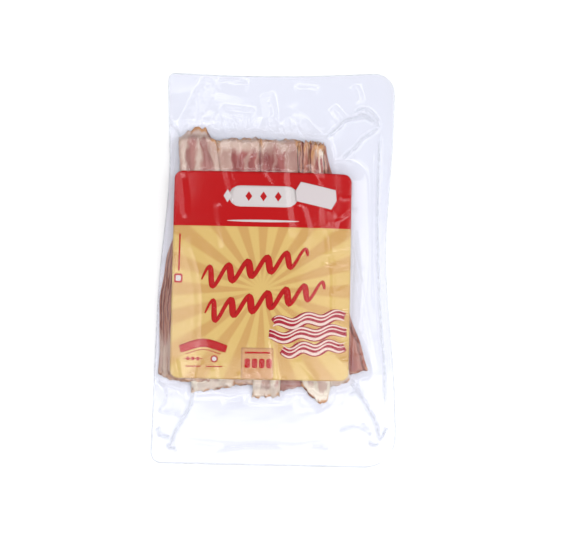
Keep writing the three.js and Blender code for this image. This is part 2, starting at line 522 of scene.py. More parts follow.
@dataclass(frozen=True)
class CuredMeat:
    """Finish of a rasher: lean in long streaks between bands of fat, with browned edges and ends."""

    fat: Colour = linear(196, 160, 143)
    rosy_fat: Colour = linear(184, 146, 132)
    pale_fat: Colour = linear(236, 224, 204)
    lean: Colour = linear(168, 96, 90)
    deep_lean: Colour = linear(138, 69, 64)
    smoked: Colour = linear(174, 110, 88)
    scorched: Colour = linear(134, 84, 60)
    crisp: Colour = linear(200, 144, 94)
    rind: Colour = linear(112, 56, 44)
    nominal_width: float = 25.0
    bands: tuple[tuple[float, float], ...] = (
        (0.18, 1), (0.30, 0.1), (0.50, 0.0), (0.59, 0.85),
        (0.64, 0.85), (0.72, 0.1), (0.84, 0), (0.92, 0.8),
    )
    inner_edge: float = 0.4
    wander: Streak = Streak(1.3, 5.0, 0.0)
    band_edges: Streak = Streak(5.0, 22.0, 9.0, 3.0)
    veins: Streak = Streak(12.0, 9.0, 4.0, 4.0)
    end_caps: Streak = Streak(3.0, 12.0, 12.0, 3.0)
    cream: Streak = Streak(3.0, 9.0, 2.0)
    blush: Streak = Streak(2.2, 7.0, 40.0)
    depth: Streak = Streak(4.0, 8.0, 6.0)
    crust_edge: Streak = Streak(9.0, 40.0, 5.0, 3.0)
    crust_patches: Streak = Streak(3.5, 15.0, 20.0)
    scorching: Streak = Streak(6.0, 30.0, 8.0)
    rind_edge: Streak = Streak(1.5, 26.0, 30.0, 3.0)
    wandering: float = 0.9
    fraying: float = 0.22
    vein_range: tuple[float, float] = (0.08, 0.24)
    vein_strength: float = 0.5
    cap_unevenness: float = 18.0
    cap_range: tuple[float, float] = (12.0, 5.0)
    blush_range: tuple[float, float] = (-0.12, 0.12)
    depth_range: tuple[float, float] = (-0.15, 0.15)
    patch_range: tuple[float, float] = (-0.10, 0.06)
    crust_unevenness: float = 3.0
    crust_range: tuple[float, float] = (2.3, 0.2)
    end_crust_range: tuple[float, float] = (5.0, 1.5)
    side_crust: float = 0.08
    rind_unevenness: float = 1.6
    rind_inner: tuple[float, float] = (1.8, 1.2)
    rind_outer: tuple[float, float] = (0.5, 0.9)
    rind_fade: tuple[float, float] = (14.0, 34.0)
    smoke_range: tuple[float, float] = (5.0, 2.0)
    smokiness: float = 0.85
    pore_scale: float = 900.0
    relief: float = 0.0004
    relief_strength: float = 0.5
    roughness: float = 0.42
    shine: float = 0.3

    def build(self) -> bpy.types.Material:
        """Builds the material, which reads the plan map and the attributes that a rasher writes.

        Returns:
            The material.
        """
        material, graph = new_material("cured_meat")
        uv = graph.node("ShaderNodeUVMap", uv_map=UV_NAME).outputs[0]
        split = graph.node("ShaderNodeSeparateXYZ", {0: uv}).outputs
        across, along = split[0], split[1]
        looks = [graph.attribute(name) for name in RASHER_LAYERS]
        seed, leanness, creaminess, browning, rind_strength, end_fat, edge, end = looks

        def noise(streak: Streak) -> bpy.types.NodeSocket:
            """Noise drawn out along the rasher.

            Args:
                streak: How it is drawn out.

            Returns:
                The noise, centred on 0.
            """
            vector = graph.combine(
                graph.math("MULTIPLY", across, streak.across),
                graph.math("MULTIPLY", along, streak.along),
                graph.math("ADD", seed, streak.shift),
            )
            return graph.math("SUBTRACT", graph.noise(vector, 1.0, streak.octaves), 0.5)

        fatness = self.fatness(graph, noise, across, leanness, end, end_fat)
        cream = graph.math("ADD", creaminess, noise(self.cream), clamp=True)
        rosy = graph.mix(graph.step(noise(self.blush), *self.blush_range), self.rosy_fat, self.fat)
        fat = graph.mix(cream, rosy, self.pale_fat)
        lean = graph.mix(graph.step(noise(self.depth), *self.depth_range), self.deep_lean, self.lean)
        flesh = graph.mix(fatness, lean, fat)
        toasted = self.toasted(graph, noise, browning, edge, end)
        scorching = graph.step(noise(self.scorching), *self.patch_range)
        browned = graph.mix(scorching, self.scorched, self.crisp)
        lined, outer = self.rind_lines(graph, noise, across, rind_strength, end)
        cooked = graph.mix(toasted, graph.mix(outer, flesh, self.smoked), browned)
        height = graph.math("ADD", fatness, graph.noise(graph.place(), self.pore_scale, 3.0))
        look = {
            "Base Color": graph.mix(lined, cooked, self.rind),
            "Normal": graph.bump(height, self.relief, self.relief_strength),
            "Roughness": self.roughness,
            "Specular IOR Level": self.shine,
        }
        graph.show(graph.shader("BsdfPrincipled", look))
        return material

    def fatness(
        self, graph: Graph, noise: Callable, across: Any, leanness: Any, end: Any, end_fat: Any
    ) -> bpy.types.NodeSocket:
        """Where the fat is: in long bands and fine veins, and in a cap at an end.

        Args:
            graph: The material's graph.
            noise: What makes a noise of a Streak.
            across: Share across the rasher, from its rind.
            leanness: How little fat the bands hold.
            end: Distance to the nearest end.
            end_fat: How fat the ends are.

        Returns:
            The share of fat.
        """
        wander = graph.math("MULTIPLY", noise(self.wander), self.wandering)
        ragged = graph.math("MULTIPLY", noise(self.band_edges), self.fraying)
        band = graph.math("ADD", across, graph.math("ADD", wander, ragged))
        profile = graph.node("ShaderNodeValToRGB", {0: band})
        stops = profile.color_ramp.elements
        stops[0].position, stops[1].position = 0.0, 1.0
        for position, value in self.bands:
            stops.new(position).color = (value, value, value, 1)
        stops[0].color = (1, 1, 1, 1)
        stops[-1].color = (self.inner_edge, self.inner_edge, self.inner_edge, 1)
        veins = graph.step(noise(self.veins), *self.vein_range)
        shade = graph.math("SUBTRACT", profile.outputs[0], graph.math("SUBTRACT", leanness, 0.5))
        veins = graph.math("MULTIPLY", veins, self.vein_strength)
        veined = graph.math("MAXIMUM", shade, veins)
        near_end = graph.math("MULTIPLY_ADD", noise(self.end_caps), self.cap_unevenness, end)
        end_cap = graph.math("MULTIPLY", graph.step(near_end, *self.cap_range), end_fat)
        return graph.math("MAXIMUM", veined, end_cap, clamp=True)

    def toasted(
        self, graph: Graph, noise: Callable, browning: Any, edge: Any, end: Any
    ) -> bpy.types.NodeSocket:
        """Where the crust is: in patches along the edges, and above all at the ends.

        Args:
            graph: The material's graph.
            noise: What makes a noise of a Streak.
            browning: How strong the crust is, and how far it reaches.
            edge: Distance to the nearest edge.
            end: Distance to the nearest end.

        Returns:
            The share of crust.
        """
        reach = graph.math("MAXIMUM", browning, 1.0)
        frayed = graph.math("MULTIPLY_ADD", noise(self.crust_edge), self.crust_unevenness, edge)
        frayed = graph.math("DIVIDE", frayed, reach)
        patches = graph.step(noise(self.crust_patches), *self.patch_range)
        by_the_end = graph.step(graph.math("DIVIDE", end, reach), *self.end_crust_range)
        by_the_end = graph.math("MULTIPLY_ADD", by_the_end, 1 - self.side_crust, self.side_crust)
        toasting = graph.math("MULTIPLY", graph.math("MULTIPLY", patches, by_the_end), browning)
        return graph.math("MULTIPLY", graph.step(frayed, *self.crust_range), toasting)

    def rind_lines(
        self, graph: Graph, noise: Callable, across: Any, strength: Any, end: Any
    ) -> tuple[bpy.types.NodeSocket, bpy.types.NodeSocket]:
        """Where the rind is: a dark line near the edge, and a smoked strip beside it.

        Args:
            graph: The material's graph.
            noise: What makes a noise of a Streak.
            across: Share across the rasher, from its rind.
            strength: How strong and wide the rind is; above 1 it runs to the ends.
            end: Distance to the nearest end.

        Returns:
            The shares of rind and of smoked flesh.
        """
        from_rind = graph.math("MULTIPLY", across, self.nominal_width)
        scaled = graph.math("DIVIDE", from_rind, graph.math("MAXIMUM", strength, 0.1))
        uneven = graph.math("MULTIPLY_ADD", noise(self.rind_edge), self.rind_unevenness, scaled)
        fading = graph.math("MULTIPLY", graph.step(end, *self.rind_fade), strength)
        lining = graph.math("MAXIMUM", fading, graph.math("SUBTRACT", strength, 1.0), clamp=True)
        inner = graph.step(uneven, *self.rind_inner)
        dark = graph.math("MULTIPLY", inner, graph.step(uneven, *self.rind_outer))
        lined = graph.math("MULTIPLY", dark, lining)
        smoke = graph.math("MULTIPLY", lining, self.smokiness)
        return lined, graph.math("MULTIPLY", graph.step(scaled, *self.smoke_range), smoke)


@dataclass(frozen=True)
class PrintedCard:
    """Finish of the card: a red band over straw-coloured rays."""

    centre: Point
    band_edge: float
    rays: int = 20
    light: Colour = linear(218, 185, 112)
    dark: Colour = linear(206, 162, 96)
    red: Colour = linear(186, 7, 10)
    plain_radius: float = 7.0
    ray_edge: float = 0.45
    fibre_scale: float = 2600.0
    roughness: float = 0.5
    sheen: float = 0.05

    def build(self) -> bpy.types.Material:
        """Builds the material, in the pack's own plan.

        Returns:
            The material.
        """
        material, graph = new_material("printed_card")
        shift = (-self.centre[0] * MM, -self.centre[1] * MM, 0)
        centred = graph.node("ShaderNodeVectorMath", {0: graph.place(), 1: shift}, operation="ADD")
        split = graph.node("ShaderNodeSeparateXYZ", {0: centred.outputs[0]}).outputs
        x, y = split[0], split[1]
        angle = graph.math("ARCTAN2", x, y)
        wave = graph.math("SINE", graph.math("MULTIPLY_ADD", angle, float(self.rays), math.pi / 2))
        squared = graph.math("ADD", graph.math("MULTIPLY", x, x), graph.math("MULTIPLY", y, y))
        reach = graph.math("SQRT", squared)
        open_out = graph.step(reach, self.plain_radius * MM * 0.3, self.plain_radius * MM * 2)
        rays = graph.math("MULTIPLY", graph.step(wave, -self.ray_edge, self.ray_edge), open_out)
        straw = graph.mix(rays, self.light, self.dark)
        in_band = graph.math("GREATER_THAN", y, (self.band_edge - self.centre[1]) * MM)
        printed = graph.mix(in_band, straw, self.red)
        look = PaperGrain.on(graph, printed, self.fibre_scale)
        look |= {"Roughness": self.roughness, "Specular IOR Level": self.sheen}
        graph.show(graph.shader("BsdfPrincipled", look))
        return material


@dataclass(frozen=True)
class PaperFinish:
    """Finish of a plain ink on the card, or of bare paper."""

    name: str
    colour: Colour
    roughness: float = 0.5
    fibre_scale: float = 2600.0
    sheen: float = 0.1

    def build(self) -> bpy.types.Material:
        """Builds the material: one colour, mottled by the paper's fibres.

        Returns:
            The material.
        """
        material, graph = new_material(self.name)
        look = PaperGrain.on(graph, self.colour[:3], self.fibre_scale)
        look |= {"Roughness": self.roughness, "Specular IOR Level": self.sheen}
        graph.show(graph.shader("BsdfPrincipled", look))
        return material


@dataclass(frozen=True)
class StudioFloor:
    """Finish of the pale floor."""

    colour: Colour = (0.905, 0.905, 0.91, 1.0)
    dimming: float = 0.985
    cloud_scale: float = 3.0
    roughness: float = 0.9

    def build(self) -> bpy.types.Material:
        """Builds the material: matt, with a faint unevenness.

        Returns:
            The material.
        """
        material, graph = new_material("studio_floor")
        cloud = graph.noise(graph.place(), self.cloud_scale)
        dimmer = tuple(c * self.dimming for c in self.colour[:3]) + (1.0,)
        look = {"Base Color": graph.mix(cloud, dimmer, self.colour), "Roughness": self.roughness}
        graph.show(graph.shader("BsdfPrincipled", look))
        return material


@dataclass(frozen=True)
class CardForm:
    """Form of the printed card: its plan, and its upper face crowned over the rashers."""

    x: float = -9.7
    y: float = -5.8
    width: float = 109.0
    length: float = 127.0
    radius: float = 5.0
    crown: float = 11.3
    side_fall: float = 2.1
    fall_centre: float = -14.0
    fall_half_width: float = 56.0
    end_fall: float = 1.2
    fall_half_length: float = 65.0
    droop: float = 2.6
    droop_across: tuple[float, float] = (24.0, 46.0)
    droop_along: tuple[float, float] = (-15.0, 45.0)
    thickness: float = 0.6
    step: float = 1.5

    def top(self, x: Array, y: Array) -> Array:
        """Height of the upper face, drooping at the upper right where no rasher lies below it.

        Args:
            x: Plan positions across the pack.
            y: Plan positions along the pack.

        Returns:
            The heights.
        """
        across = (x - self.fall_centre) / self.fall_half_width
        along = (y - self.y) / self.fall_half_length
        droop = self.droop * ramp(x, *self.droop_across) * ramp(y, *self.droop_along)
        return self.crown - self.side_fall * across**2 - self.end_fall * along**2 - droop

    def inside(self, x: Array, y: Array) -> Array:
        """How far points lie inside the card's edge, in plan."""
        return inside_box(x - self.x, y - self.y, self.width / 2, self.length / 2, self.radius)

    def place(self, s: Array, t: Array) -> tuple[Array, Array]:
        """Plan place of points of the card.

        Args:
            s: Shares across the card.
            t: Shares along it.

        Returns:
            The positions across and along the pack.
        """
        u, v = (s - 0.5) * self.width, (t - 0.5) * self.length
        x, y = rounded(u, v, self.width, self.length, (self.radius,) * 4)
        return x + self.x, y + self.y


class Side(Enum):
    """The long side of a rasher that its rind is on."""

    LEFT = "left"
    RIGHT = "right"


@dataclass(frozen=True)
class Rasher:
    """One slice: the middle of its two ends in plan, its width, how it is cut and how it looks.

    top_cut and bottom_cut say how much shorter the rasher is than its nominal ends, at even steps
    from its left side to its right. bow says how far its lower half swings to the right.
    """

    SWAY_SEED = 100
    TEAR_SEED = 300
    SWING_PLACE = -27.0
    SWING_REACH = 45.0

    top: Point
    bottom: Point
    width: float
    rind: Side = Side.LEFT
    leanness: float = 0.5
    creaminess: float = 0.3
    browning: float = 0.8
    bow: float = 0.0
    rind_strength: float = 0.2
    end_fat: float = 1.0
    top_cut: tuple[float, ...] = (0.6, 0.0, 0.4, 0.0, 0.8)
    bottom_cut: tuple[float, ...] = (0.8, 0.0, 0.5, 0.2, 1.0)
    thickness: float = 1.7
    sway: float = 0.6
    torn: float = 1.0

    def shift(self, a: Array, number: int) -> tuple[Array, Array]:
        """Sideways sway and change of width at places along the rasher.

        Args:
            a: Distance along the rasher from its middle.
            number: The rasher's number in the pile, which seeds its waves.

        Returns:
            The sway and the factor on the width.
        """
        phase = np.random.default_rng(self.SWAY_SEED + number).uniform(0, 2 * math.pi, 4)
        sway = self.sway * (np.sin(a / 17 + phase[0]) + 0.45 * np.sin(a / 5.5 + phase[1]))
        swing = self.bow * np.exp(-(((a - self.SWING_PLACE) / self.SWING_REACH) ** 2))
        swell = 1 + 0.03 * np.sin(a / 12 + phase[2]) + 0.018 * np.sin(a / 4 + phase[3])
        return sway + swing, swell

    def ends(self, s: Array, number: int) -> tuple[Array, Array]:
        """How much is cut off the two ends, at shares across the rasher.

        Args:
            s: Shares across the rasher, from 0 on its left.
            number: The rasher's number, which seeds the nicks.

        Returns:
            What the bottom end and the top end lose.
        """
        phase = np.random.default_rng(self.TEAR_SEED + number).uniform(0, 2 * math.pi, 4)
        nick = self.torn * (0.35 * np.sin(s * 23 + phase[0]) + 0.2 * np.sin(s * 51 + phase[1]))
        tear = self.torn * (0.35 * np.sin(s * 27 + phase[2]) + 0.2 * np.sin(s * 47 + phase[3]))
        low = np.interp(s, np.linspace(0, 1, len(self.bottom_cut)), self.bottom_cut) + nick
        high = np.interp(s, np.linspace(0, 1, len(self.top_cut)), self.top_cut) + tear
        return low, high

    def place(self, s: Array, t: Array, number: int) -> tuple[Array, Array]:
        """Plan place of a share across and along the rasher.

        Args:
            s: Shares across the rasher.
            t: Shares along it, from its bottom.
            number: The rasher's number.

        Returns:
            The positions across and along the pack.
        """
        along, right, length = axes(self.top, self.bottom)
        low, high = self.ends(s, number)
        a = -length / 2 + low + t * (length - low - high)
        sway, swell = self.shift(a, number)
        c = (s - 0.5) * self.width * swell + sway
        middle = (np.array(self.top) + np.array(self.bottom)) / 2
        return middle[0] + along[0] * a + right[0] * c, middle[1] + along[1] * a + right[1] * c

    def covers(self, x: Array, y: Array, number: int) -> Array:
        """Whether the rasher lies over each plan place.

        Args:
            x: Plan positions across the pack.
            y: Plan positions along the pack.
            number: The rasher's number.

        Returns:
            True where it does.
        """
        along, right, length = axes(self.top, self.bottom)
        dx, dy = x - (self.top[0] + self.bottom[0]) / 2, y - (self.top[1] + self.bottom[1]) / 2
        a, c = dx * along[0] + dy * along[1], dx * right[0] + dy * right[1]
        sway, swell = self.shift(a, number)
        s = (c - sway) / (self.width * swell) + 0.5
        low, high = self.ends(s, number)
        return (s > 0) & (s < 1) & (a > low - length / 2) & (a < length / 2 - high)


RASHERS = (
    Rasher(
        (-45.5, 72), (-57.1, -72.4), 26, leanness=0.4, bow=-5.7, rind_strength=1.0,
        bottom_cut=(4.2, 1.8, 0.9, 0.6, 0.5, 0.4, 0.4, 0.6, 0.8), creaminess=0.3,
    ),
    Rasher((-20, 74), (-30, -73.0), 27, Side.RIGHT),
    Rasher((4, 74), (2, -73.5), 27, leanness=0.7),
    Rasher((11, 72.5), (45.0, -66.0), 27, Side.RIGHT, 1.0, 0.1, 0.6, -7.6, 1.0, 0.3),
    Rasher(
        (-46.5, 74), (-54.6, -72.0), 25.5, leanness=0.3, bow=-5.6, rind_strength=1.0,
        bottom_cut=(3.0, 1.2, 0.6, 0.4, 0.4, 0.4, 0.6), creaminess=0.3,
    ),
    Rasher((-15, 75), (-14, -73.5), 28, Side.RIGHT, 0.6),
    Rasher((13, 73), (46.6, -65.5), 27, Side.RIGHT, 1.2, 0.0, 0.5, -8.2, 2.4, 0.1),
    Rasher(
        (-47.5, 75), (-53.4, -71.8), 25, leanness=0.6, bow=-4.0, rind_strength=1.0,
        bottom_cut=(2.6, 1.0, 0.5, 0.4, 0.4, 0.4, 0.6), creaminess=0.3,
    ),
    Rasher(
        (-5, 76), (9.5, -76.6), 20, Side.LEFT, 0.6, 0.3, 0.6, end_fat=0.35,
        bottom_cut=(0.0, 0.6, 1.4, 2.2, 3.4),
    ),
    Rasher(
        (15, 74), (48.3, -64.6), 27, Side.RIGHT, 1.6, 0.0, 0.6, -8.7, 1.8, 0.0,
        bottom_cut=(1.6, 1.0, 0.4, 0.4, 0.0),
    ),
    Rasher(
        (-48, 76), (-52.0, -71.6), 25, leanness=0.3, bow=-3.2, rind_strength=1.0,
        bottom_cut=(3.2, 1.0, 0.6, 0.3, 0.6), creaminess=0.2,
    ),
    Rasher((-25, 76), (-20, -73.2), 26, leanness=0.7),
    Rasher(
        (12, 76), (37, -74), 20, Side.RIGHT, 0.3, 0.6, end_fat=0.8,
        bottom_cut=(2.2, 1.4, 1.0, 1.6, 3.0),
    ),
    Rasher(
        (-38.5, 77), (-38.5, -78.4), 26.5, Side.LEFT, 0.45, 1.0, 1.0, end_fat=0.8, torn=1.4,
        bottom_cut=(0.0, 0.8, 1.6, 2.8, 4.4),
    ),
    Rasher(
        (-11, 77.5), (-5.2, -81.0), 17, Side.LEFT, 0.1, 0.85, 1.0, torn=1.4,
        bottom_cut=(0.4, 0.0, 0.8, 0.5, 0.2, 0.9), end_fat=0.9,
    ),
    Rasher(
        (8.6, 77.2), (26.4, -84.4), 18, Side.RIGHT, 0.0, 1.0, 1.3, torn=1.4,
        bottom_cut=(13.0, 9.0, 6.0, 3.6, 1.6, 0.0, 0.6, 2.0, 9.0),
    ),
    Rasher(
        (-48.5, 78), (-51.5, -71.4), 25, leanness=0.5, bow=-1.8, rind_strength=1.0,
        bottom_cut=(3.0, 1.0, 0.3, 0.2, 0.6), creaminess=0.2,
    ),
    Rasher((-30, 77), (-27, -70), 24, Side.RIGHT, 0.5, 0.7, top_cut=(1.0, 0.5, 0.0, 0.8, 2.5)),
    Rasher(
        (-49.4, 86.2), (-49, -62), 25.4, Side.RIGHT, 0.3, 0.3, 1.5, sway=1.1, torn=2.0,
        top_cut=(6.4, 4.8, 2.4, 0.4, 0.0, 0.8, 5.0, 9.5, 13.0),
    ),
    Rasher(
        (19.6, 78.5), (22.6, -62), 17.5, Side.RIGHT, 0.5, 0.4, 2.0, rind_strength=3.2, torn=2.2,
        top_cut=(0.0, 0.9, 0.2, 1.4, 1.0),
    ),
    Rasher(
        (-24.6, 80.4), (-22, -62), 27.4, Side.LEFT, 0.8, 0.25, 1.5, sway=1.1, torn=2.0,
        top_cut=(5.0, 2.4, 0.4, 1.4, 0.9, 0.2, 0.8, 1.8),
    ),
    Rasher(
        (17.6, 77.6), (23.5, -62), 12, Side.LEFT, 0.7, 0.5, 2.2, rind_strength=3.0, torn=2.2,
        top_cut=(0.6, 0.0, 0.9, 0.2),
    ),
    Rasher(
        (21.8, 76.8), (26.0, -62), 9, Side.LEFT, 0.6, 0.6, 2.4, rind_strength=3.0, torn=2.2,
        top_cut=(0.2, 1.0, 0.0, 0.8),
    ),
    Rasher(
        (-1.6, 79.6), (3, -62), 23.0, Side.RIGHT, 0.85, 0.1, 1.2, sway=1.0, torn=1.6,
        top_cut=(0.6, 1.5, 0.9, 1.2, 0.6, 0.0, 0.3, 1.6),
    ),
)


@dataclass(frozen=True)
class SolidSlice:
    """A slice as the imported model's bulge has it: a straight strip under the film."""

    top: Point
    bottom: Point
    width: float
    height: float

    def inside(self, x: Array, y: Array) -> Array:
        """How far points lie inside the strip's edge, in plan.

        Args:
            x: Plan positions across the pack.
            y: Plan positions along the pack.

        Returns:
            The distances, negative outside it.
        """
        along, right, length = axes(self.top, self.bottom)
        dx, dy = x - (self.top[0] + self.bottom[0]) / 2, y - (self.top[1] + self.bottom[1]) / 2
        across, up = dx * right[0] + dy * right[1], dx * along[0] + dy * along[1]
        return inside_box(across, up, self.width / 2, length / 2)


@dataclass(frozen=True)
class Ridge:
    """A fold or a wrinkle of the film: its route in plan, its height and its half width.

    ragged makes its height and width uneven, and crease says how strongly painted shade darkens its
    crest.
    """

    route: list[Point]
    height: float
    reach: float
    ragged: float = 0.0
    crease: float = 0.0

    def near(self, x: Array, y: Array, margin: float, fading: float) -> tuple[Array, Array, Array]:
        """Finds the points near the ridge.

        Args:
            x: Plan positions across the pack.
            y: Plan positions along the pack.
            margin: How far from the route's own box a point may be.
            fading: The share of the route over which the ridge fades at an end.

        Returns:
            Which of the points are near, and their distance from the route and the fading.
        """
        points = smooth_route(self.route)
        low, high = points.min(axis=0) - margin, points.max(axis=0) + margin
        near = (x > low[0]) & (x < high[0]) & (y > low[1]) & (y < high[1])
        gap, along = route_distance(x[near], y[near], points)
        return near, gap, ramp(along, 0.0, fading) * ramp(1 - along, 0.0, fading)

    def rise(self, x: Array, y: Array) -> Array:
        """Height that the ridge adds.

        Args:
            x: Plan positions across the pack.
            y: Plan positions along the pack.

        Returns:
            The height, 0 away from the ridge.
        """
        added = np.zeros(x.shape)
        near, gap, fade = self.near(x, y, self.reach, 0.12)
        u, v = x[near], y[near]
        wobble = self.ragged * (np.sin(u * 0.9 + v * 0.7) + np.sin(v * 1.7 - u * 0.4))
        reach = self.reach * (1 + 0.4 * wobble)
        added[near] = self.height * (1 + wobble) * ramp(1 - gap / reach) * fade
        return added

    def painted_crease_shade(self, x: Array, y: Array, half_width: float = 0.75) -> Array:
        """How strongly painted shade darkens the film along the crest.

        Args:
            x: Plan positions across the pack.
            y: Plan positions along the pack.
            half_width: Half the width of the creased line.

        Returns:
            The strength, from 0 away from the line to the ridge's own at its middle.
        """
        strength = np.zeros(x.shape)
        near, gap, fade = self.near(x, y, 4 * half_width, 0.08)
        strength[near] = self.crease * np.exp(-((gap / half_width) ** 2)) * fade
        return strength


@dataclass(frozen=True)
class FilmForm:
    """Form of the sealed film: a flat wavy rim, and the rashers and the card pushing it up."""

    width: float = 146.6
    length: float = 245.0
    corner_radii: tuple[float, ...] = (5.0, 14.0, 7.0, 20.0)
    taper: float = 0.034
    left_bow: tuple[float, ...] = (3.8, 55.0, 45.0)
    right_bow: tuple[float, ...] = (5.9, 6.0, 60.0)
    top_slant: float = 2.6
    top_dip: float = 2.2
    rim_level: float = 1.15
    rim_wave: float = 0.55
    wave_lengths: tuple[float, ...] = (23.0, 61.0, 37.0, 90.0)
    wave_phase: float = 0.8
    corner_lift: float = 1.4
    lift_across: tuple[float, float] = (30.0, 90.0)
    lift_along: tuple[float, float] = (70.0, 140.0)
    skirt: float = 3.4
    skirt_power: float = 1.4
    blend: float = 1.1
    card: CardForm = CardForm()
    slices: tuple[SolidSlice, ...] = (
        SolidSlice((15, 74), (44, -65), 27, 5.2),
        SolidSlice((-49.5, 77), (-58.5, -68), 25, 6.4),
        SolidSlice((15.5, 76), (39, -74), 20, 7.2),
        SolidSlice((-38.5, 77), (-38, -78), 27, 7.8),
        SolidSlice((-11, 77), (-3, -80), 22, 8.4),
        SolidSlice((8.5, 77), (26.5, -83), 19, 8.8),
        SolidSlice((-49.5, 85), (-48, -59), 25, 9.6),
        SolidSlice((19.5, 77.5), (22.5, -59), 18, 9.4),
        SolidSlice((-12, 79), (-10, -61), 44, 10.2),
    )
    # A fifth value of a fold is the strength of the painted shade along its crest.
    folds: tuple[Ridge, ...] = (
        Ridge([(28, 80), (36, 87), (41, 92), (50, 94), (56, 93), (61, 89)], 1.6, 2.2, 0.16, 0.8),
        Ridge([(39, 68), (47, 75), (52, 81), (58, 85), (61, 88.5)], 1.3, 2.0, 0.10, 0.7),
        Ridge(
            [(62, 86), (61.6, 46), (61.8, 22), (63, -9), (65, -37), (67.5, -62), (68, -88)],
            1.1, 1.5, 0.02, 0.9,
        ),
        Ridge(
            [(-52, -71), (-50.7, -79), (-52, -87), (-57, -96), (-61.6, -105), (-63, -111)],
            1.8, 2.0, 0.14, 0.9,
        ),
        Ridge([(46, -70), (53, -78), (58.5, -87), (63, -95), (65, -105)], 1.8, 2.0, 0.14, 0.9),
        Ridge([(-61, -108), (0, -111), (59, -105)], 0.12, 2.8, 0.12),
        Ridge([(-61, 84), (-55, 97), (-50, 111)], 0.9, 4.4, 0.06),
    )

    def place(self, s: Array, t: Array) -> tuple[Array, Array]:
        """Plan place of points of the film, with its bowed sides and dipped top.

        Args:
            s: Shares across the film.
            t: Shares along it.

        Returns:
            The positions across and along the pack.
        """
        u, v = (s - 0.5) * self.width, (t - 0.5) * self.length
        rx, ry = rounded(u, v, self.width, self.length, self.corner_radii)
        across, along = 2 * rx / self.width, 2 * ry / self.length
        depth, middle, reach = [
            np.where(across < 0, left, right) for left, right in zip(self.left_bow, self.right_bow)
        ]
        bow = depth * np.exp(-(((ry - middle) / reach) ** 2)) * across**3
        upper = np.maximum(along, 0) ** 2
        dip = upper * (self.top_slant * (across - 1) * 0.5 - self.top_dip * (1 - across**2))
        return rx * (1 - self.taper * along) - bow, ry + dip

    def rim_bottom(self, x: Array, y: Array) -> Array:
        """Height of the rim's lower face, which waves and lifts at the upper right corner.

        Args:
            x: Plan positions across the pack.
            y: Plan positions along the pack.

        Returns:
            The heights.
        """
        across, slant, along, cross = self.wave_lengths
        wave = np.sin(x / across + y / slant + self.wave_phase) * np.cos(y / along - x / cross)
        lift = self.corner_lift * ramp(x, *self.lift_across) * ramp(y, *self.lift_along)
        return self.rim_level + self.rim_wave * wave + lift

    def hug(self, inside: Array, height: Array | float, spare: Array | float = 0.0) -> Array:
        """Film stretched from an edge at a height down to the rim, further where it has spare reach."""
        return height * np.exp(-((np.maximum(-inside, 0) / (self.skirt + spare)) ** self.skirt_power))

    def over_contents(self, x: Array, y: Array, start: Array) -> Array:
        """Height of the film over the rashers and the card.

        Args:
            x: Plan positions across the pack.
            y: Plan positions along the pack.
            start: Height beside them.

        Returns:
            The heights.
        """
        height = start
        for piece in self.slices:
            height = soft_max(height, self.hug(piece.inside(x, y), piece.height), self.blend)
        return soft_max(height, self.hug(self.card.inside(x, y), self.card.top(x, y)), self.blend)

    def inside_pile(self, x: Array, y: Array) -> Array:
        """How far points lie inside the outline of all the slices."""
        return np.max([piece.inside(x, y) for piece in self.slices], axis=0)


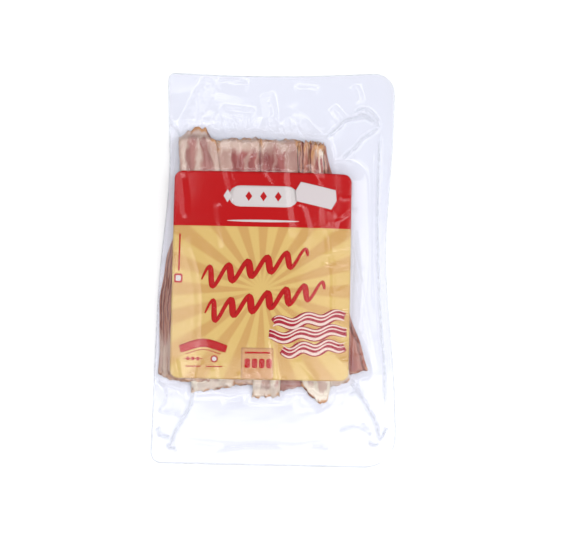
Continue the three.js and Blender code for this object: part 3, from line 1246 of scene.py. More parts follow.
class PressedPile:
    """The rashers laid one on another, on a square grid of heights, and pressed down by the film."""

    STEP = 0.8
    HALF_X = 100
    HALF_Y = 125
    BASE = 0.35
    CLEARANCE = 0.30
    SEAM = 0.06
    SKIRT = 2.9
    SKIRT_POWER = 1.3
    LEAST_SHARE = 0.01
    LEAST_PRESS = 0.4
    MOST_PRESS = 1.15
    LEAST_ROOM = 0.35
    UNKNOWN_ROOM = 2.5
    UNPRESSED = 9.0
    CARD_MARGIN = 1.5
    COLUMNS = 34
    ROW_LENGTH = 1.25
    EDGE_BODY = 0.42
    EDGE_REACH = 1.5
    EDGE_START = 0.2
    EDGE_LIFT = 0.16
    LIFT_REACH = 1.2
    SEED_STEP = 3.7
    SPANNED_CELLS = 2
    SOFTENED_CELLS = 3
    CEILING_CELLS = 3
    PRESS_CELLS = 7
    SKIRT_REACH = 3.2

    def __init__(self, form: FilmForm) -> None:
        """Lays down every rasher of the table.

        Args:
            form: The film that holds the pile together.
        """
        self.form = form
        columns = np.arange(-self.HALF_X, self.HALF_X + 1) * self.STEP
        rows = np.arange(-self.HALF_Y, self.HALF_Y + 1) * self.STEP
        self.x, self.y = np.meshgrid(columns, rows, indexing="ij")
        self.under: list[Array] = []
        height = np.zeros(self.x.shape)
        for number, rasher in enumerate(RASHERS):
            support = self.blurred(self.widened(height, self.SPANNED_CELLS), self.SOFTENED_CELLS)
            self.under.append(support)
            here = rasher.covers(self.x, self.y, number)
            height = np.where(here, support + rasher.thickness + self.SEAM, height)
        self.height = height
        self.press = self.pressed()
        self.drape = self.draped()

    @staticmethod
    def neighbours(grid: Array) -> list[Array]:
        """A grid and its copies shifted by one cell in four directions."""
        return [grid, *(np.roll(grid, step, axis) for axis in (0, 1) for step in (-1, 1))]

    def spread(self, grid: Array, times: int, how: Callable) -> Array:
        """Passes values on from cell to cell.

        Args:
            grid: The grid.
            times: How many cells far.
            how: What joins the values of a cell and its neighbours.

        Returns:
            The new grid.
        """
        for _ in range(times):
            grid = how(self.neighbours(grid), axis=0)
        return grid

    def widened(self, grid: Array, times: int) -> Array:
        """The grid with each high spot widened by a number of cells."""
        return self.spread(grid, times, np.max)

    def blurred(self, grid: Array, times: int) -> Array:
        """The grid blurred by a number of cells."""
        return self.spread(grid, times, np.mean)

    def pressed(self) -> Array:
        """Works out how far the pile is pressed, so that it fills the room under film and card.

        Returns:
            The factor on the heights, over the grid.
        """
        ceiling = self.form.over_contents(self.x, self.y, np.full(self.x.shape, self.UNKNOWN_ROOM))
        ceiling = self.widened(ceiling, self.CEILING_CELLS)
        card = self.form.card
        under_card = card.top(self.x, self.y) - card.thickness
        ceiling = np.where(card.inside(self.x, self.y) > -self.CARD_MARGIN, under_card, ceiling)
        wanted = (ceiling - self.CLEARANCE - self.BASE) / np.maximum(self.widened(self.height, 1), 1.0)
        known = self.height > 0
        factor = np.clip(wanted, self.LEAST_PRESS, self.MOST_PRESS)
        factor = self.blurred(np.where(known, factor, np.median(wanted[known])), self.PRESS_CELLS)
        most = np.where(known, np.maximum(wanted, self.LEAST_ROOM), self.UNPRESSED)
        return np.minimum(factor, most)

    def draped(self) -> Array:
        """Stretches the film from the pile down to the rim: every high spot with a skirt round it.

        Returns:
            Heights over the grid, 0 away from the pile.
        """
        level = np.where(self.height > 0, self.BASE + self.height * self.press, 0.0)
        level = self.blurred(self.widened(level, 2), 1)
        cells = round(self.SKIRT_REACH * self.SKIRT / self.STEP)
        draped = level
        for i in range(-cells, cells + 1):
            for j in range(-cells, cells + 1):
                gap = self.STEP * math.hypot(i, j)
                share = math.exp(-((gap / self.SKIRT) ** self.SKIRT_POWER))
                if share > self.LEAST_SHARE:
                    draped = np.maximum(draped, np.roll(level, (i, j), (0, 1)) * share)
        return self.blurred(draped, self.SOFTENED_CELLS)

    def read(self, grid: Array, x: Array, y: Array) -> Array:
        """Values of a grid at plan places, between its cells.

        Args:
            grid: The grid.
            x: Plan positions across the pack.
            y: Plan positions along the pack.

        Returns:
            The values.
        """
        u = np.clip(x / self.STEP + self.HALF_X, 0, grid.shape[0] - 1.001)
        v = np.clip(y / self.STEP + self.HALF_Y, 0, grid.shape[1] - 1.001)
        i, j = u.astype(int), v.astype(int)
        fu, fv = u - i, v - j
        low = grid[i, j] * (1 - fu) + grid[i + 1, j] * fu
        high = grid[i, j + 1] * (1 - fu) + grid[i + 1, j + 1] * fu
        return low * (1 - fv) + high * fv

    def level(self, height: Array, x: Array, y: Array) -> Array:
        """Height above the floor of a height in the pile before it was pressed."""
        return self.BASE + height * self.read(self.press, x, y)

    def build(self) -> list[bpy.types.Object]:
        """Makes a piece of every rasher.

        Returns:
            The pieces, from the lowest up.
        """
        finish = CuredMeat().build()
        return [self.build_rasher(number, rasher, finish) for number, rasher in enumerate(RASHERS)]

    def build_rasher(self, number: int, rasher: Rasher, finish: bpy.types.Material) -> bpy.types.Object:
        """Makes one rasher as a limp sheet with rounded edges.

        Args:
            number: Its number in the pile, from 0.
            rasher: Its plan.
            finish: The cured meat's material.

        Returns:
            The piece.
        """
        length = axes(rasher.top, rasher.bottom)[2]
        support = self.under[number]

        def end(spots: Spots) -> Array:
            """Distance to the nearest end, in plan."""
            return np.minimum(spots.t, 1 - spots.t) * length

        def edge(spots: Spots) -> Array:
            """Distance to the nearest edge, in plan."""
            return np.minimum(np.minimum(spots.s, 1 - spots.s) * rasher.width, end(spots))

        def lower(spots: Spots) -> Array:
            """Under face, lifted a little at the rounded edges."""
            lift = self.EDGE_LIFT * rasher.thickness * (1 - ramp(edge(spots) / self.LIFT_REACH))
            return self.level(self.read(support, spots.x, spots.y) + lift, spots.x, spots.y)

        def upper(spots: Spots) -> Array:
            """Upper face of the rasher, falling at the rounded edges.

            Args:
                spots: Vertices of the sheet.

            Returns:
                The heights.
            """
            rounding = ramp((edge(spots) + self.EDGE_START) / self.EDGE_REACH)
            body = rasher.thickness * (self.EDGE_BODY + (1 - self.EDGE_BODY) * rounding)
            return self.level(self.read(support, spots.x, spots.y) + body, spots.x, spots.y)

        def place(s: Array, t: Array) -> tuple[Array, Array]:
            """Plan place of a share across and along the rasher."""
            return rasher.place(s, t, number)

        looks = {name: getattr(rasher, name) for name in RASHER_LAYERS[1:6]}
        looks["rasher_seed"] = number * self.SEED_STEP
        layers = {
            name: lambda spots, look=look: np.full(spots.s.shape, look) for name, look in looks.items()
        }
        layers |= {"edge_distance": edge, "end_distance": end}
        bm = bmesh.new()
        Sheet(self.COLUMNS, int(length / self.ROW_LENGTH), place, lower, upper).add_to(bm, layers)
        uv = bm.loops.layers.uv.verify()
        if rasher.rind is Side.RIGHT:
            for face in bm.faces:
                for loop in face.loops:
                    loop[uv].uv.x = 1 - loop[uv].uv.x
        piece = finished(bm, f"rasher_{number + 1:02d}", finish)
        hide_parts("pouch")
        return piece


class Film:
    """The sealed clear film: a closed skin over the pile and the card, flat behind them."""

    COLUMNS = 160
    ROWS = 268
    SEAL = 0.35
    OVER_CARD = 0.34
    OVER_PILE = 0.28
    FLOOR_GAP = 0.06
    TENT = 4.5
    TENT_ACROSS = (22.0, 46.0)
    TENT_ALONG = (-55.0, 10.0)
    # Strength and width of the painted shade that draws a grey line along the film's cut edge.
    EDGE_SHADE = 0.8
    EDGE_SHADE_WIDTH = (0.9, 0.1)
    LOOSE_BESIDE = (-30.0, -4.0)
    LOOSE_ALONG = (-80.0, -50.0)
    LOOSE_AT_FOOT = 0.25
    SLACKNESS = 0.55
    OVERHANG = 0.8
    HELD_DOWN = 0.6
    HELD_REACH = 4.0
    ROUND_STICKER = (0.5, 3.5)
    CARD_BLEND = 0.8
    FLAT_FROM = 1.4
    FLAT_REACH = 5.0
    PUCKER_SEED = 41
    SLACK_SEED = 7
    SLACK_LEVEL = 0.5
    SWELLS = ((46, 0.30), (31, 0.22), (19, 0.13), (11, 0.06), (7, 0.03))
    SWELL_BEND = (0.8, 0.37)

    def __init__(self, form: FilmForm, pile: PressedPile, sticker: "PriceSticker") -> None:
        """Works out the wrinkles that the film takes between its contents and its rim.

        Args:
            form: The film's rim and folds.
            pile: The rashers under it.
            sticker: The sticker, under which it is smooth.
        """
        self.form = form
        self.pile = pile
        self.sticker = sticker
        self.wrinkles = [*self.streaks(), *self.puckers(), *self.creases()]

    @staticmethod
    def streaks() -> list[Ridge]:
        """Lists the long shallow wrinkles over the card and the upper ends of the rashers.

        Returns:
            The wrinkles as ridges.
        """
        routes = (
            ([(-58.8, 78.2), (-54.7, 57.0)], 0.8, 3.6),
            ([(-35.4, 76.5), (-31.0, 56.2), (-25.5, 36.8)], 0.7, 4.4),
            ([(-14.7, 61.9), (-3.2, 45.8)], 0.5, 4.2),
            ([(0.5, 74.0), (1.5, 52.0), (4.5, 31.0), (7.0, 16.0)], 0.8, 6.5),
            ([(16.5, 62.6), (27.3, 48.9)], 0.5, 3.4),
            ([(12.5, 39.7), (18.3, 21.3), (14.2, 10.3)], 0.5, 3.8),
            ([(30.3, 40.1), (35.9, 22.1)], 0.6, 2.6),
            ([(-60.1, 56.0), (-56.4, 28.2)], 0.5, 3.6),
            ([(-37.0, 38.7), (-31.6, 9.3)], 0.5, 4.2),
            ([(-56.6, 18.1), (-49.6, 1.5), (-45.4, -21.6), (-46.0, -51.9)], 0.7, 6.5),
            ([(29.6, 23.6), (30.7, 10.6), (34.0, -0.4), (34.5, -30.2)], 0.5, 1.8),
            ([(-2.6, -42.0), (0.4, -71.2)], 0.6, 3.2),
            ([(14.1, -56.0), (26.0, -69.7)], 0.5, 3.2),
            ([(-47.0, 82.0), (-42.5, 58.0)], 0.7, 2.2),
            ([(-28.0, 79.5), (-24.0, 66.0), (-25.0, 57.0)], 0.7, 2.0),
            ([(-13.0, 80.0), (-8.0, 58.0)], 0.8, 2.6),
            ([(2.0, 80.0), (3.5, 62.0)], 0.6, 1.8),
        )
        return [Ridge(*route) for route in routes]

    @staticmethod
    def creases() -> list[Ridge]:
        """Lists the broad dents of the margins, and the sharp ragged ends of the corner folds.

        Returns:
            The dents and folds as ridges, the sharp ones with painted shade along the crest.
        """
        dents = (
            ([(-44.0, 117.6), (-50.0, 102.9), (-59.0, 86.0)], 1.1, 6.5),
            ([(-40.0, 114.0), (-20.0, 112.0)], 0.7, 6.0),
            ([(-38.0, 96.5), (-15.0, 95.0)], 0.9, 5.0),
            ([(-9.0, 108.4), (-6.0, 96.0), (-8.0, 84.0)], 1.2, 6.0),
            ([(8.0, 111.0), (24.0, 110.0)], 0.5, 4.0),
            ([(32.0, 100.0), (40.0, 91.0)], 0.9, 4.2),
            ([(13.3, 91.3), (24.5, 79.7)], 0.9, 3.6),
            ([(46.0, 114.0), (49.0, 103.0)], 0.6, 4.8),
            ([(57.5, 74.0), (59.0, 46.0), (59.2, 18.0), (60.3, -10.0), (61.8, -28.0)], 0.4, 2.2),
            ([(-70.0, 92.2), (-66.7, 83.2), (-61.9, 80.9)], 0.8, 2.0),
            ([(26.2, 70.5), (34.4, 59.9)], 0.8, 2.8),
        )
        # The last value of a sharp fold is the strength of the painted shade along its crest.
        sharp = (
            ([(45.7, 97.7), (51.8, 99.5), (56.3, 97.3), (60.2, 92.4), (61.4, 87.4)], 0.8, 1.5, 0.7),
            ([(48.0, 96.0), (53.0, 95.5), (57.5, 91.5)], 0.6, 1.3, 0.5),
            ([(-65.8, -110.6), (-63.2, -112.7), (-59.9, -113.7)], 0.9, 1.4, 0.9),
            ([(-60.5, -105.0), (-62.1, -106.6), (-63.6, -111.6)], 0.7, 1.3, 0.7),
            (
                [(-72.9, -70.7), (-67.8, -75.5), (-66.6, -81.6), (-69.1, -87.6), (-71.8, -91.5)],
                0.6, 1.6, 0.4,
            ),
            ([(-71.9, -100.3), (-69.8, -105.2), (-64.1, -106.4)], 0.7, 1.4, 0.8),
            ([(-71.3, -91.0), (-62.5, -91.3), (-55.8, -94.5)], 0.5, 1.6, 0.25),
            ([(69.7, -97.9), (67.0, -102.8), (64.8, -105.6)], 1.0, 1.4, 1.0),
            ([(58.3, -106.3), (61.6, -108.6), (64.9, -107.5)], 0.8, 1.3, 0.8),
            ([(40.0, -100.7), (47.7, -97.8), (53.2, -98.2), (57.6, -100.3)], 0.4, 1.5, 0.35),
            ([(54.2, -95.5), (57.0, -98.1), (59.9, -103.0)], 0.5, 1.3, 0.5),
            ([(46.5, -67.8), (51.9, -73.7), (46.6, -77.8)], 0.8, 2.0, 0.35),
            ([(-36.6, -113.8), (-20.2, -110.7), (-4.9, -109.6), (6.2, -110.7)], 0.35, 2.0, 0.2),
            ([(23.7, -109.8), (34.7, -111.2)], 0.3, 1.8, 0.2),
            ([(-69.0, 88.0), (-64.5, 84.0), (-62.0, 79.0)], 0.7, 1.6, 0.35),
        )
        broad = [Ridge(route, height, reach, 0.05) for route, height, reach in dents]
        creased = [Ridge(route, height, reach, 0.2, crease) for route, height, reach, crease in sharp]
        return broad + creased

    def puckers(self) -> list[Ridge]:
        """Short gathers round the pile, where the film bridges from it down to the rim.

        Returns:
            The gathers as ridges, square to the outline of the pile.
        """
        draw = np.random.default_rng(self.PUCKER_SEED)
        outline = (
            ((-60, 82), (27, 79), 21, (0.0, 1.0), 1.5),
            ((-68, -69), (36, -80), 14, (0.0, -1.0), 0.8),
            ((50, -62), (34, 50), 8, (1.0, 0.25), 1.0),
        )
        ridges = []
        for start, end, count, outward, strength in outline:
            for n in range(count):
                share = (n + draw.uniform(0.1, 0.9)) / count
                foot = np.array(start) * (1 - share) + np.array(end) * share
                lean = draw.uniform(-0.45, 0.45)
                way = np.array([outward[0] - lean * outward[1], outward[1] + lean * outward[0]])
                inner, outer = foot - way * draw.uniform(6, 15), foot + way * draw.uniform(5, 15)
                height = draw.uniform(0.25, 0.75) * strength
                ridges.append(Ridge([tuple(inner), tuple(outer)], height, draw.uniform(1.2, 2.4), 0.05))
        return ridges

    def slack(self, x: Array, y: Array) -> Array:
        """Low dents of the loose film beside its contents.

        Args:
            x: Plan positions across the pack.
            y: Plan positions along the pack.

        Returns:
            Their heights, above and below 0.
        """
        draw = np.random.default_rng(self.SLACK_SEED)
        total = np.zeros(x.shape)
        bend, rate = self.SWELL_BEND
        for wavelength, depth in self.SWELLS:
            for _ in range(3):
                turn, phase = draw.uniform(0, math.pi), draw.uniform(0, 2 * math.pi)
                run = (x * math.cos(turn) + y * math.sin(turn)) * 2 * math.pi / wavelength
                total += depth * np.sin(run + phase + bend * np.sin(run * rate + phase))
        return total

    def top(self, x: Array, y: Array) -> Array:
        """Upper face of the film: rim and folds, draped over the pile and the card, with wrinkles.

        Args:
            x: Plan positions across the pack.
            y: Plan positions along the pack.

        Returns:
            The heights.
        """
        form, card = self.form, self.form.card
        inside = form.inside_pile(x, y)
        folds = np.max([fold.rise(x, y) for fold in form.folds], axis=0)
        wrinkles = np.sum([ridge.rise(x, y) for ridge in self.wrinkles], axis=0)
        loose = self.LOOSE_AT_FOOT + (1 - self.LOOSE_AT_FOOT) * ramp(y, *self.LOOSE_ALONG)
        loose = ramp(inside, *self.LOOSE_BESIDE) * loose
        slack = np.maximum(self.slack(x, y) + self.SLACK_LEVEL, 0.0) * self.SLACKNESS * loose
        rim = form.rim_bottom(x, y) + self.SEAL + folds + slack
        over_pile = soft_max(rim, self.pile.read(self.pile.drape, x, y) + self.OVER_PILE, form.blend)
        tent = self.TENT * ramp(x, *self.TENT_ACROSS) * ramp(y, *self.TENT_ALONG)
        covered = card.inside(x, y) + self.OVERHANG
        over_card = form.hug(covered, card.top(x, y), tent) + self.OVER_CARD
        held = self.HELD_DOWN + (1 - self.HELD_DOWN) * ramp(-inside, 0.0, self.HELD_REACH)
        held = held * ramp(-self.sticker.inside(x, y), *self.ROUND_STICKER)
        return soft_max(over_pile, over_card, self.CARD_BLEND) + wrinkles * held

    def creased(self, spots: Spots) -> Array:
        """How strongly painted shade darkens the film: along its sharp folds, and along its cut edge,
        where it draws a grey outline.

        Args:
            spots: Vertices of the sheet.

        Returns:
            The strength from 0 to 1.
        """
        ridges = [ridge for ridge in (*self.form.folds, *self.wrinkles) if ridge.crease]
        folded = np.max([ridge.painted_crease_shade(spots.x, spots.y) for ridge in ridges], axis=0)
        across = np.minimum(spots.s, 1 - spots.s) * self.form.width
        along = np.minimum(spots.t, 1 - spots.t) * self.form.length
        # Painted shade along the cut edge, drawn as a grey outline of the film.
        edge = self.EDGE_SHADE * ramp(np.minimum(across, along), *self.EDGE_SHADE_WIDTH)
        return np.maximum(folded, edge)

    def bottom(self, x: Array, y: Array) -> Array:
        """Lower face of the film: the rim, and flat on the floor under the rashers.

        Args:
            x: Plan positions across the pack.
            y: Plan positions along the pack.

        Returns:
            The heights.
        """
        inside = self.form.inside_pile(x, y)
        level = self.form.rim_bottom(x, y)
        return level + (self.FLOOR_GAP - level) * ramp(self.FLAT_FROM + inside / self.FLAT_REACH)

    def build(self) -> bpy.types.Object:
        """Makes the film.

        Returns:
            The piece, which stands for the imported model's pouch.
        """
        bm = bmesh.new()
        Sheet(
            self.COLUMNS,
            self.ROWS,
            self.form.place,
            lambda spots: self.bottom(spots.x, spots.y),
            lambda spots: self.top(spots.x, spots.y),
        ).add_to(bm, {CREASE_LAYER: self.creased})
        piece = finished(bm, "film", ClearFilm().build())
        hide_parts("pouch")
        return piece


@dataclass(frozen=True)
class Band:
    """A printed band on the card: a route in plan, and a width that may change along it.

    taper narrows the two ends, and nib narrows the rising strokes as a broad pen does.
    """

    COLUMNS = 4
    TIP = 0.004
    RISING = (-0.3, 0.8)

    route: Array
    width: float
    lift: float = 0.05
    taper: float = 0.0
    nib: float = 0.0
    rows: int = 60

    def add_to(self, bm: bmesh.types.BMesh, card: CardForm) -> None:
        """Adds the band to a mesh.

        Args:
            bm: The mesh, in millimetres.
            card: The card that it is laid on.
        """
        steps = np.hypot(*np.diff(self.route, axis=0).T)
        run = np.concatenate([[0.0], np.cumsum(steps)]) / steps.sum()
        slope = np.gradient(self.route, run, axis=0)
        slope = slope / np.hypot(slope[:, :1], slope[:, 1:])

        def place(s: Array, t: Array) -> tuple[Array, Array]:
            """Plan place of points of the band.

            Args:
                s: Shares across it.
                t: Shares along it.

            Returns:
                The positions across and along the pack.
            """
            middle = [np.interp(t, run, self.route[:, n]) for n in (0, 1)]
            way = [np.interp(t, run, slope[:, n]) for n in (0, 1)]
            shape = np.clip(np.sin(math.pi * np.clip(t, self.TIP, 1 - self.TIP)), 0, 1) ** self.taper
            stroke = 1 - self.nib * ramp(way[1], *self.RISING)
            offset = (s - 0.5) * self.width * shape * stroke
            return middle[0] + way[1] * offset, middle[1] - way[0] * offset

        Sheet(self.COLUMNS, self.rows, place, *printed_faces(card, self.lift)).add_to(bm)


@dataclass(frozen=True)
class Patch:
    """A printed patch on the card: a rounded rectangle, down to a disc, or a lozenge."""

    CELLS = 12
    POINTEDNESS = 0.98

    x: float
    y: float
    width: float
    length: float
    radius: float = 0.0
    lift: float = 0.05
    lozenge: bool = False

    def add_to(self, bm: bmesh.types.BMesh, card: CardForm) -> None:
        """Adds the patch to a mesh.

        Args:
            bm: The mesh, in millimetres.
            card: The card that it is laid on.
        """

        def place(s: Array, t: Array) -> tuple[Array, Array]:
            """Plan place of points of the patch.

            Args:
                s: Shares across it.
                t: Shares along it.

            Returns:
                The positions across and along the pack.
            """
            u, v = (s - 0.5) * self.width, (t - 0.5) * self.length
            if self.lozenge:
                narrow = 1 - np.abs(2 * t - 1) * self.POINTEDNESS
                return u * narrow + self.x, v + self.y
            if self.radius > 0:
                u, v = rounded(u, v, self.width, self.length, (self.radius,) * 4)
            return u + self.x, v + self.y

        Sheet(self.CELLS, self.CELLS, place, *printed_faces(card, self.lift)).add_to(bm)


def printed_faces(card: CardForm, lift: float, ink: float = 0.035) -> tuple[Callable, Callable]:
    """Faces of ink on the card.

    Args:
        card: The card.
        lift: How far the ink lies above it.
        ink: How thick the ink is.

    Returns:
        What works out the lower and the upper face's heights.
    """
    return (
        lambda spots: card.top(spots.x, spots.y) + lift,
        lambda spots: card.top(spots.x, spots.y) + lift + ink,
    )


def wave_route(
    start: Point, end: Point, waves: float, height: float, phase: float = 0.0, slant: float = 0.0
) -> Array:
    """A wavy route between two places in plan.

    Args:
        start: Where it starts.
        end: Where it ends.
        waves: How many whole waves it makes.
        height: How far it swings to each side.
        phase: Where in a wave it starts, in radians.
        slant: How far the crests lean forward, as a share of their height.

    Returns:
        The route as rows of x and y.
    """
    t = np.linspace(0, 1, 140)[:, None]
    run = np.array(end) - np.array(start)
    ahead = run / np.hypot(*run)
    square = np.array([-ahead[1], ahead[0]])
    swing = height * (1 + 0.7 * np.exp(-9 * t)) * np.sin(2 * math.pi * waves * t + phase)
    return np.array(start) + run * t + (square + slant * ahead) * swing


@dataclass(frozen=True)
class PrintedLabel:
    """The card and its print: band and rays in its finish, and the figures as thin ink on it."""

    form: CardForm = CardForm()
    burst: Point = (-9.1, -14.6)
    band_edge: float = 23.9
    plaque: Point = (-9.3, 42.6)
    red: Colour = linear(184, 8, 11)
    cream: Colour = linear(212, 204, 199)
    flesh: Colour = linear(168, 34, 52)
    pale: Colour = linear(232, 206, 192)
    tan: Colour = linear(206, 156, 108)

    def build_card(self) -> bpy.types.Object:
        """Makes the card.

        Returns:
            The piece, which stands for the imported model's label.
        """
        form = self.form
        bm = bmesh.new()
        columns, rows = round(form.width / form.step), round(form.length / form.step)
        Sheet(
            columns,
            rows,
            form.place,
            lambda spots: form.top(spots.x, spots.y) - form.thickness,
            lambda spots: form.top(spots.x, spots.y),
        ).add_to(bm)
        piece = finished(bm, "card", PrintedCard(self.burst, self.band_edge).build())
        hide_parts("label")
        return piece

    def red_figures(self) -> list[Band | Patch]:
        """Lists the figures in red: two pen flourishes, a bowed ribbon and the small marks.

        Returns:
            The bands and patches.
        """
        px, py = self.plaque
        first = wave_route((-46.0, -9.0), (18.5, 6.5), 5.5, 4.6, slant=0.5)
        second = wave_route((-43.5, -29.5), (29.0, -13.5), 6.5, 4.6, slant=0.5)
        marks: list[Band | Patch] = [
            Band(first, 4.5, taper=0.25, nib=0.38, rows=210),
            Band(second, 4.5, taper=0.25, nib=0.38, rows=240),
            Band(smooth_route([(-58.4, -51.6), (-44.1, -47.6), (-29.8, -51.1)]), 5.2, taper=0.05),
            Band(smooth_route([(-54.7, -54.5), (-44.1, -51.6), (-33.4, -54.2)]), 0.5),
            Band(np.array([(-59.9, 18.9), (-60.1, -3.8)]), 1.0),
            Patch(-60.3, -8.4, 5.2, 5.6, 1.2),
            Band(np.array([(-56.2, -57.4), (-44.3, -57.2)]), 0.45),
            Patch(-37.2, -57.2, 4.4, 4.4, 2.19),
            Band(np.array([(-54.7, -62.0), (-45.3, -61.9)]), 0.7),
            Band(np.array([(-42.3, -61.9), (-32.1, -61.8)]), 0.7),
            Band(np.array([(-18.6, -53.0), (-3.2, -52.8)]), 1.1),
        ]
        marks += [Patch(x, -57.3, 1.9, 2.2, 0.5, 0.06) for x in (-53.3, -50.3, -47.3)]
        marks += [Patch(x, -59.4, 3.4, 5.8, 1.3, 0.10) for x in (-17.0, -12.6, -8.2, -3.8)]
        marks += [Patch(px + dx, py, 4.2, 6.0, lift=0.10, lozenge=True) for dx in (-9.0, 0.0, 9.0)]
        return marks

    def cream_figures(self) -> list[Band | Patch]:
        """Lists the figures in cream: a bare plaque with a rule below it, and the hearts of small marks.

        Returns:
            The bands and patches.
        """
        px, py = self.plaque
        return [
            Patch(px, py, 42.0, 13.0, 6.45),
            Patch(px - 22.0, py, 5.0, 8.0, lozenge=True),
            Band(np.array([(px - 22, py - 15.2), (px + 22, py - 15.0)]), 1.5, taper=0.5),
            Patch(-37.2, -57.2, 2.8, 2.8, 1.39, 0.10),
            Patch(-60.3, -8.4, 3.2, 3.4, 0.8, 0.10),
        ]

    def strips(self) -> list[tuple[Point, Point, float]]:
        """Lists the plain wavy strips that decorate the lower right corner.

        Returns:
            The ends and the wave phase of each strip.
        """
        return [
            ((-1.5, -35.2), (41.8, -29.5), 0.4),
            ((-4.0, -43.4), (43.0, -38.4), 1.5),
            ((4.0, -51.8), (42.0, -47.6), 2.6),
        ]

    def build_ink(self, name: str, colour: Colour, figures: list[Band | Patch]) -> bpy.types.Object:
        """Makes one ink's figures as one piece.

        Args:
            name: The piece's name, which its finish shares.
            colour: The ink.
            figures: The bands and patches that it prints.

        Returns:
            The piece.
        """
        bm = bmesh.new()
        for figure in figures:
            figure.add_to(bm, self.form)
        return finished(bm, name, PaperFinish(name, colour).build())

    def build(self) -> None:
        """Makes the card and every ink on it."""
        self.build_card()
        self.build_ink("tan_ink", self.tan, [Patch(-11.0, -59.5, 19.8, 19.2, 0.4, 0.03)])
        self.build_ink("red_ink", self.red, self.red_figures())
        self.build_ink("cream_ink", self.cream, self.cream_figures())
        strips = [wave_route(a, b, 2.5, 1.3, phase) for a, b, phase in self.strips()]
        bands = [Band(route, 7.6, taper=0.12, rows=80) for route in strips]
        self.build_ink("strip_ink", self.flesh, bands)
        stripes = []
        for route in strips:
            for offset, width in ((-2.3, 1.7), (0.6, 1.0), (2.7, 1.1)):
                shifted = route + np.array([0.12 * offset, offset])
                stripes.append(Band(shifted, width, 0.10, 0.25, rows=80))
        self.build_ink("stripe_ink", self.pale, stripes)


@dataclass(frozen=True)
class PriceSticker:
    """The blank paper sticker on the film, with its two short ends cut to a blunt point."""

    COLUMNS = 44
    ROWS = 26

    x: float = 22.9
    y: float = 43.8
    width: float = 22.0
    length: float = 12.3
    end_bulge: float = 2.0
    turn: float = -0.21
    thickness: float = 0.16
    gap: float = 0.05

    def place(self, s: Array, t: Array) -> tuple[Array, Array]:
        """Plan place of points of the sticker.

        Args:
            s: Shares across it.
            t: Shares along it.

        Returns:
            The positions across and along the pack.
        """
        u, v = (s - 0.5) * self.width, (t - 0.5) * self.length
        u = u * (1 + 2 * self.end_bulge * (1 - np.abs(2 * v / self.length)) / self.width)
        cosine, sine = math.cos(self.turn), math.sin(self.turn)
        return self.x + u * cosine - v * sine, self.y + u * sine + v * cosine

    def inside(self, x: Array, y: Array) -> Array:
        """How far points lie inside the sticker's edge, in plan.

        Args:
            x: Plan positions across the pack.
            y: Plan positions along the pack.

        Returns:
            The distances, negative outside it.
        """
        cosine, sine = math.cos(self.turn), math.sin(self.turn)
        u = (x - self.x) * cosine + (y - self.y) * sine
        v = (y - self.y) * cosine - (x - self.x) * sine
        return inside_box(u, v, self.width / 2 + self.end_bulge, self.length / 2)

    def build(self, film: Film) -> bpy.types.Object:
        """Makes the sticker, lying on the film.

        Args:
            film: The film that it sticks to.

        Returns:
            The piece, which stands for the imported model's price sticker.
        """

        def under(spots: Spots) -> Array:
            """Lower face, just clear of the film."""
            return film.top(spots.x, spots.y) + self.gap

        def over(spots: Spots) -> Array:
            """Upper face, parallel to the lower one."""
            return under(spots) + self.thickness

        bm = bmesh.new()
        Sheet(self.COLUMNS, self.ROWS, self.place, under, over).add_to(bm)
        finish = PaperFinish("sticker_paper", linear(199, 190, 192), 0.75, 1800.0).build()
        piece = finished(bm, "sticker", finish)
        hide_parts("price_sticker")
        return piece


@dataclass(frozen=True)
class Softbox:
    """A rectangular studio light: its place and size in metres, and how bright its face is."""

    name: str
    place: tuple[float, float, float]
    size: tuple[float, float]
    radiance: float
    aim: tuple[float, float, float] = (0.0, 0.0, 0.0)

    def build(self) -> None:
        """Hangs the light, turned to its aim."""
        light = bpy.data.lights.new(self.name, "AREA")
        light.shape = "RECTANGLE"
        light.size, light.size_y = self.size
        light.energy = self.radiance * math.pi * self.size[0] * self.size[1]
        holder = linked(self.name, light)
        holder.location = self.place
        away = Vector(self.place) - Vector(self.aim)
        holder.rotation_euler = away.to_track_quat("Z", "Y").to_euler()


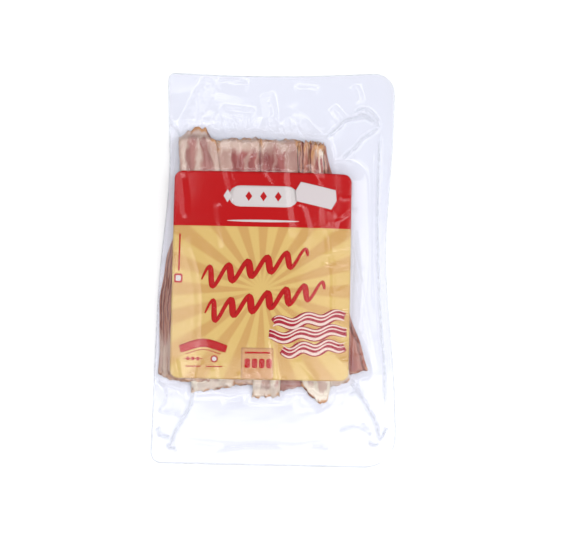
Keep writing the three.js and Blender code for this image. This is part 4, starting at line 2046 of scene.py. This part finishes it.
@dataclass(frozen=True)
class Studio:
    """Floor, lights and camera."""

    floor_size: float = 12.0
    room_light: float = 0.05
    backdrop: float = 0.97
    backdrop_colour: Colour = (0.95, 0.96, 1.0, 1.0)
    distance: float = 0.62615
    tilt: float = math.radians(2.0)
    roll: float = math.radians(1.2)
    aim: tuple[float, float] = (0.00481, -0.00457)
    lens: float = 63.7
    softboxes: tuple[Softbox, ...] = (
        Softbox("key", (2.3, -0.4, 1.95), (2.9, 2.3), 3.0),
        Softbox("fill", (-2.3, 0.2, 2.0), (2.6, 3.4), 1.38),
        Softbox("back", (0.0, 2.7, 2.0), (2.8, 1.2), 1.3),
        Softbox("front", (0.0, -2.2, 1.9), (2.6, 1.2), 2.6),
        Softbox("over_top", (0.0, 0.62, 1.35), (0.9, 0.32), 3.2),
        Softbox("over_front", (0.0, -0.31, 1.35), (0.8, 0.2), 2.9),
        Softbox("strip_right", (0.34, -0.18, 1.1), (0.44, 0.62), 1.8, (0.34, -0.18, 0.0)),
        Softbox("strip_left", (-0.33, -0.2, 1.1), (0.19, 0.58), 3.1, (-0.33, -0.2, 0.0)),
        Softbox("glint_right", (0.33, 0.33, 1.1), (0.2, 0.34), 2.4, (0.33, 0.33, 0.0)),
        Softbox("glint_left", (-0.35, 0.36, 1.1), (0.15, 0.3), 1.4, (-0.35, 0.36, 0.0)),
    )

    def build_floor(self) -> None:
        """Lays the pale floor."""
        bm = bmesh.new()
        bmesh.ops.create_grid(bm, x_segments=1, y_segments=1, size=self.floor_size / 2)
        mesh = bpy.data.meshes.new("floor")
        bm.to_mesh(mesh)
        bm.free()
        mesh.materials.append(StudioFloor().build())
        floor = linked("floor", mesh)

    def build_world(self) -> None:
        """Sets the room: a pale backdrop to look at, which sheds only a faint light."""
        world = bpy.data.worlds.new("room")
        world.use_nodes = True
        world.node_tree.nodes.clear()
        graph = Graph(world.node_tree)
        seen = graph.node("ShaderNodeLightPath").outputs["Is Camera Ray"]
        strength = graph.math("MULTIPLY_ADD", seen, self.backdrop - self.room_light, self.room_light)
        shader = graph.shader("Background", {"Color": self.backdrop_colour, "Strength": strength})
        graph.node("ShaderNodeOutputWorld", {"Surface": shader})
        bpy.context.scene.world = world

    def build_camera(self) -> None:
        """Sets the camera over the pack, tilted a little from above and rolled as the photograph is."""
        up = Vector((-math.sin(self.roll), math.cos(self.roll), 0))
        target = Vector((*self.aim, 0.0))
        back = -up * math.sin(self.tilt) + Vector((0, 0, math.cos(self.tilt)))
        right = up.cross(back).normalized()
        frame_up = back.cross(right).normalized()
        camera = bpy.data.cameras.new("camera")
        camera.lens = self.lens
        camera.clip_start = 0.01
        holder = linked("camera", camera)
        turn = Matrix((right, frame_up, back)).transposed().to_4x4()
        holder.matrix_world = Matrix.Translation(target + back * self.distance) @ turn
        bpy.context.scene.camera = holder

    def build(self) -> None:
        """Sets up the whole studio."""
        self.build_floor()
        self.build_world()
        for softbox in self.softboxes:
            softbox.build()
        self.build_camera()
        bpy.context.scene.view_settings.view_transform = "Standard"


def main() -> None:
    """Builds the studio and the pack, piece by piece."""
    logging.basicConfig(level=logging.INFO, format="%(message)s")
    Studio().build()
    form = FilmForm()
    pile = PressedPile(form)
    LOG.info("pile: %.1f mm high before pressing", pile.height.max())
    pile.build()
    PrintedLabel().build()
    sticker = PriceSticker()
    film = Film(form, pile, sticker)
    film.build()
    sticker.build(film)


if __name__ == "__main__":
    main()
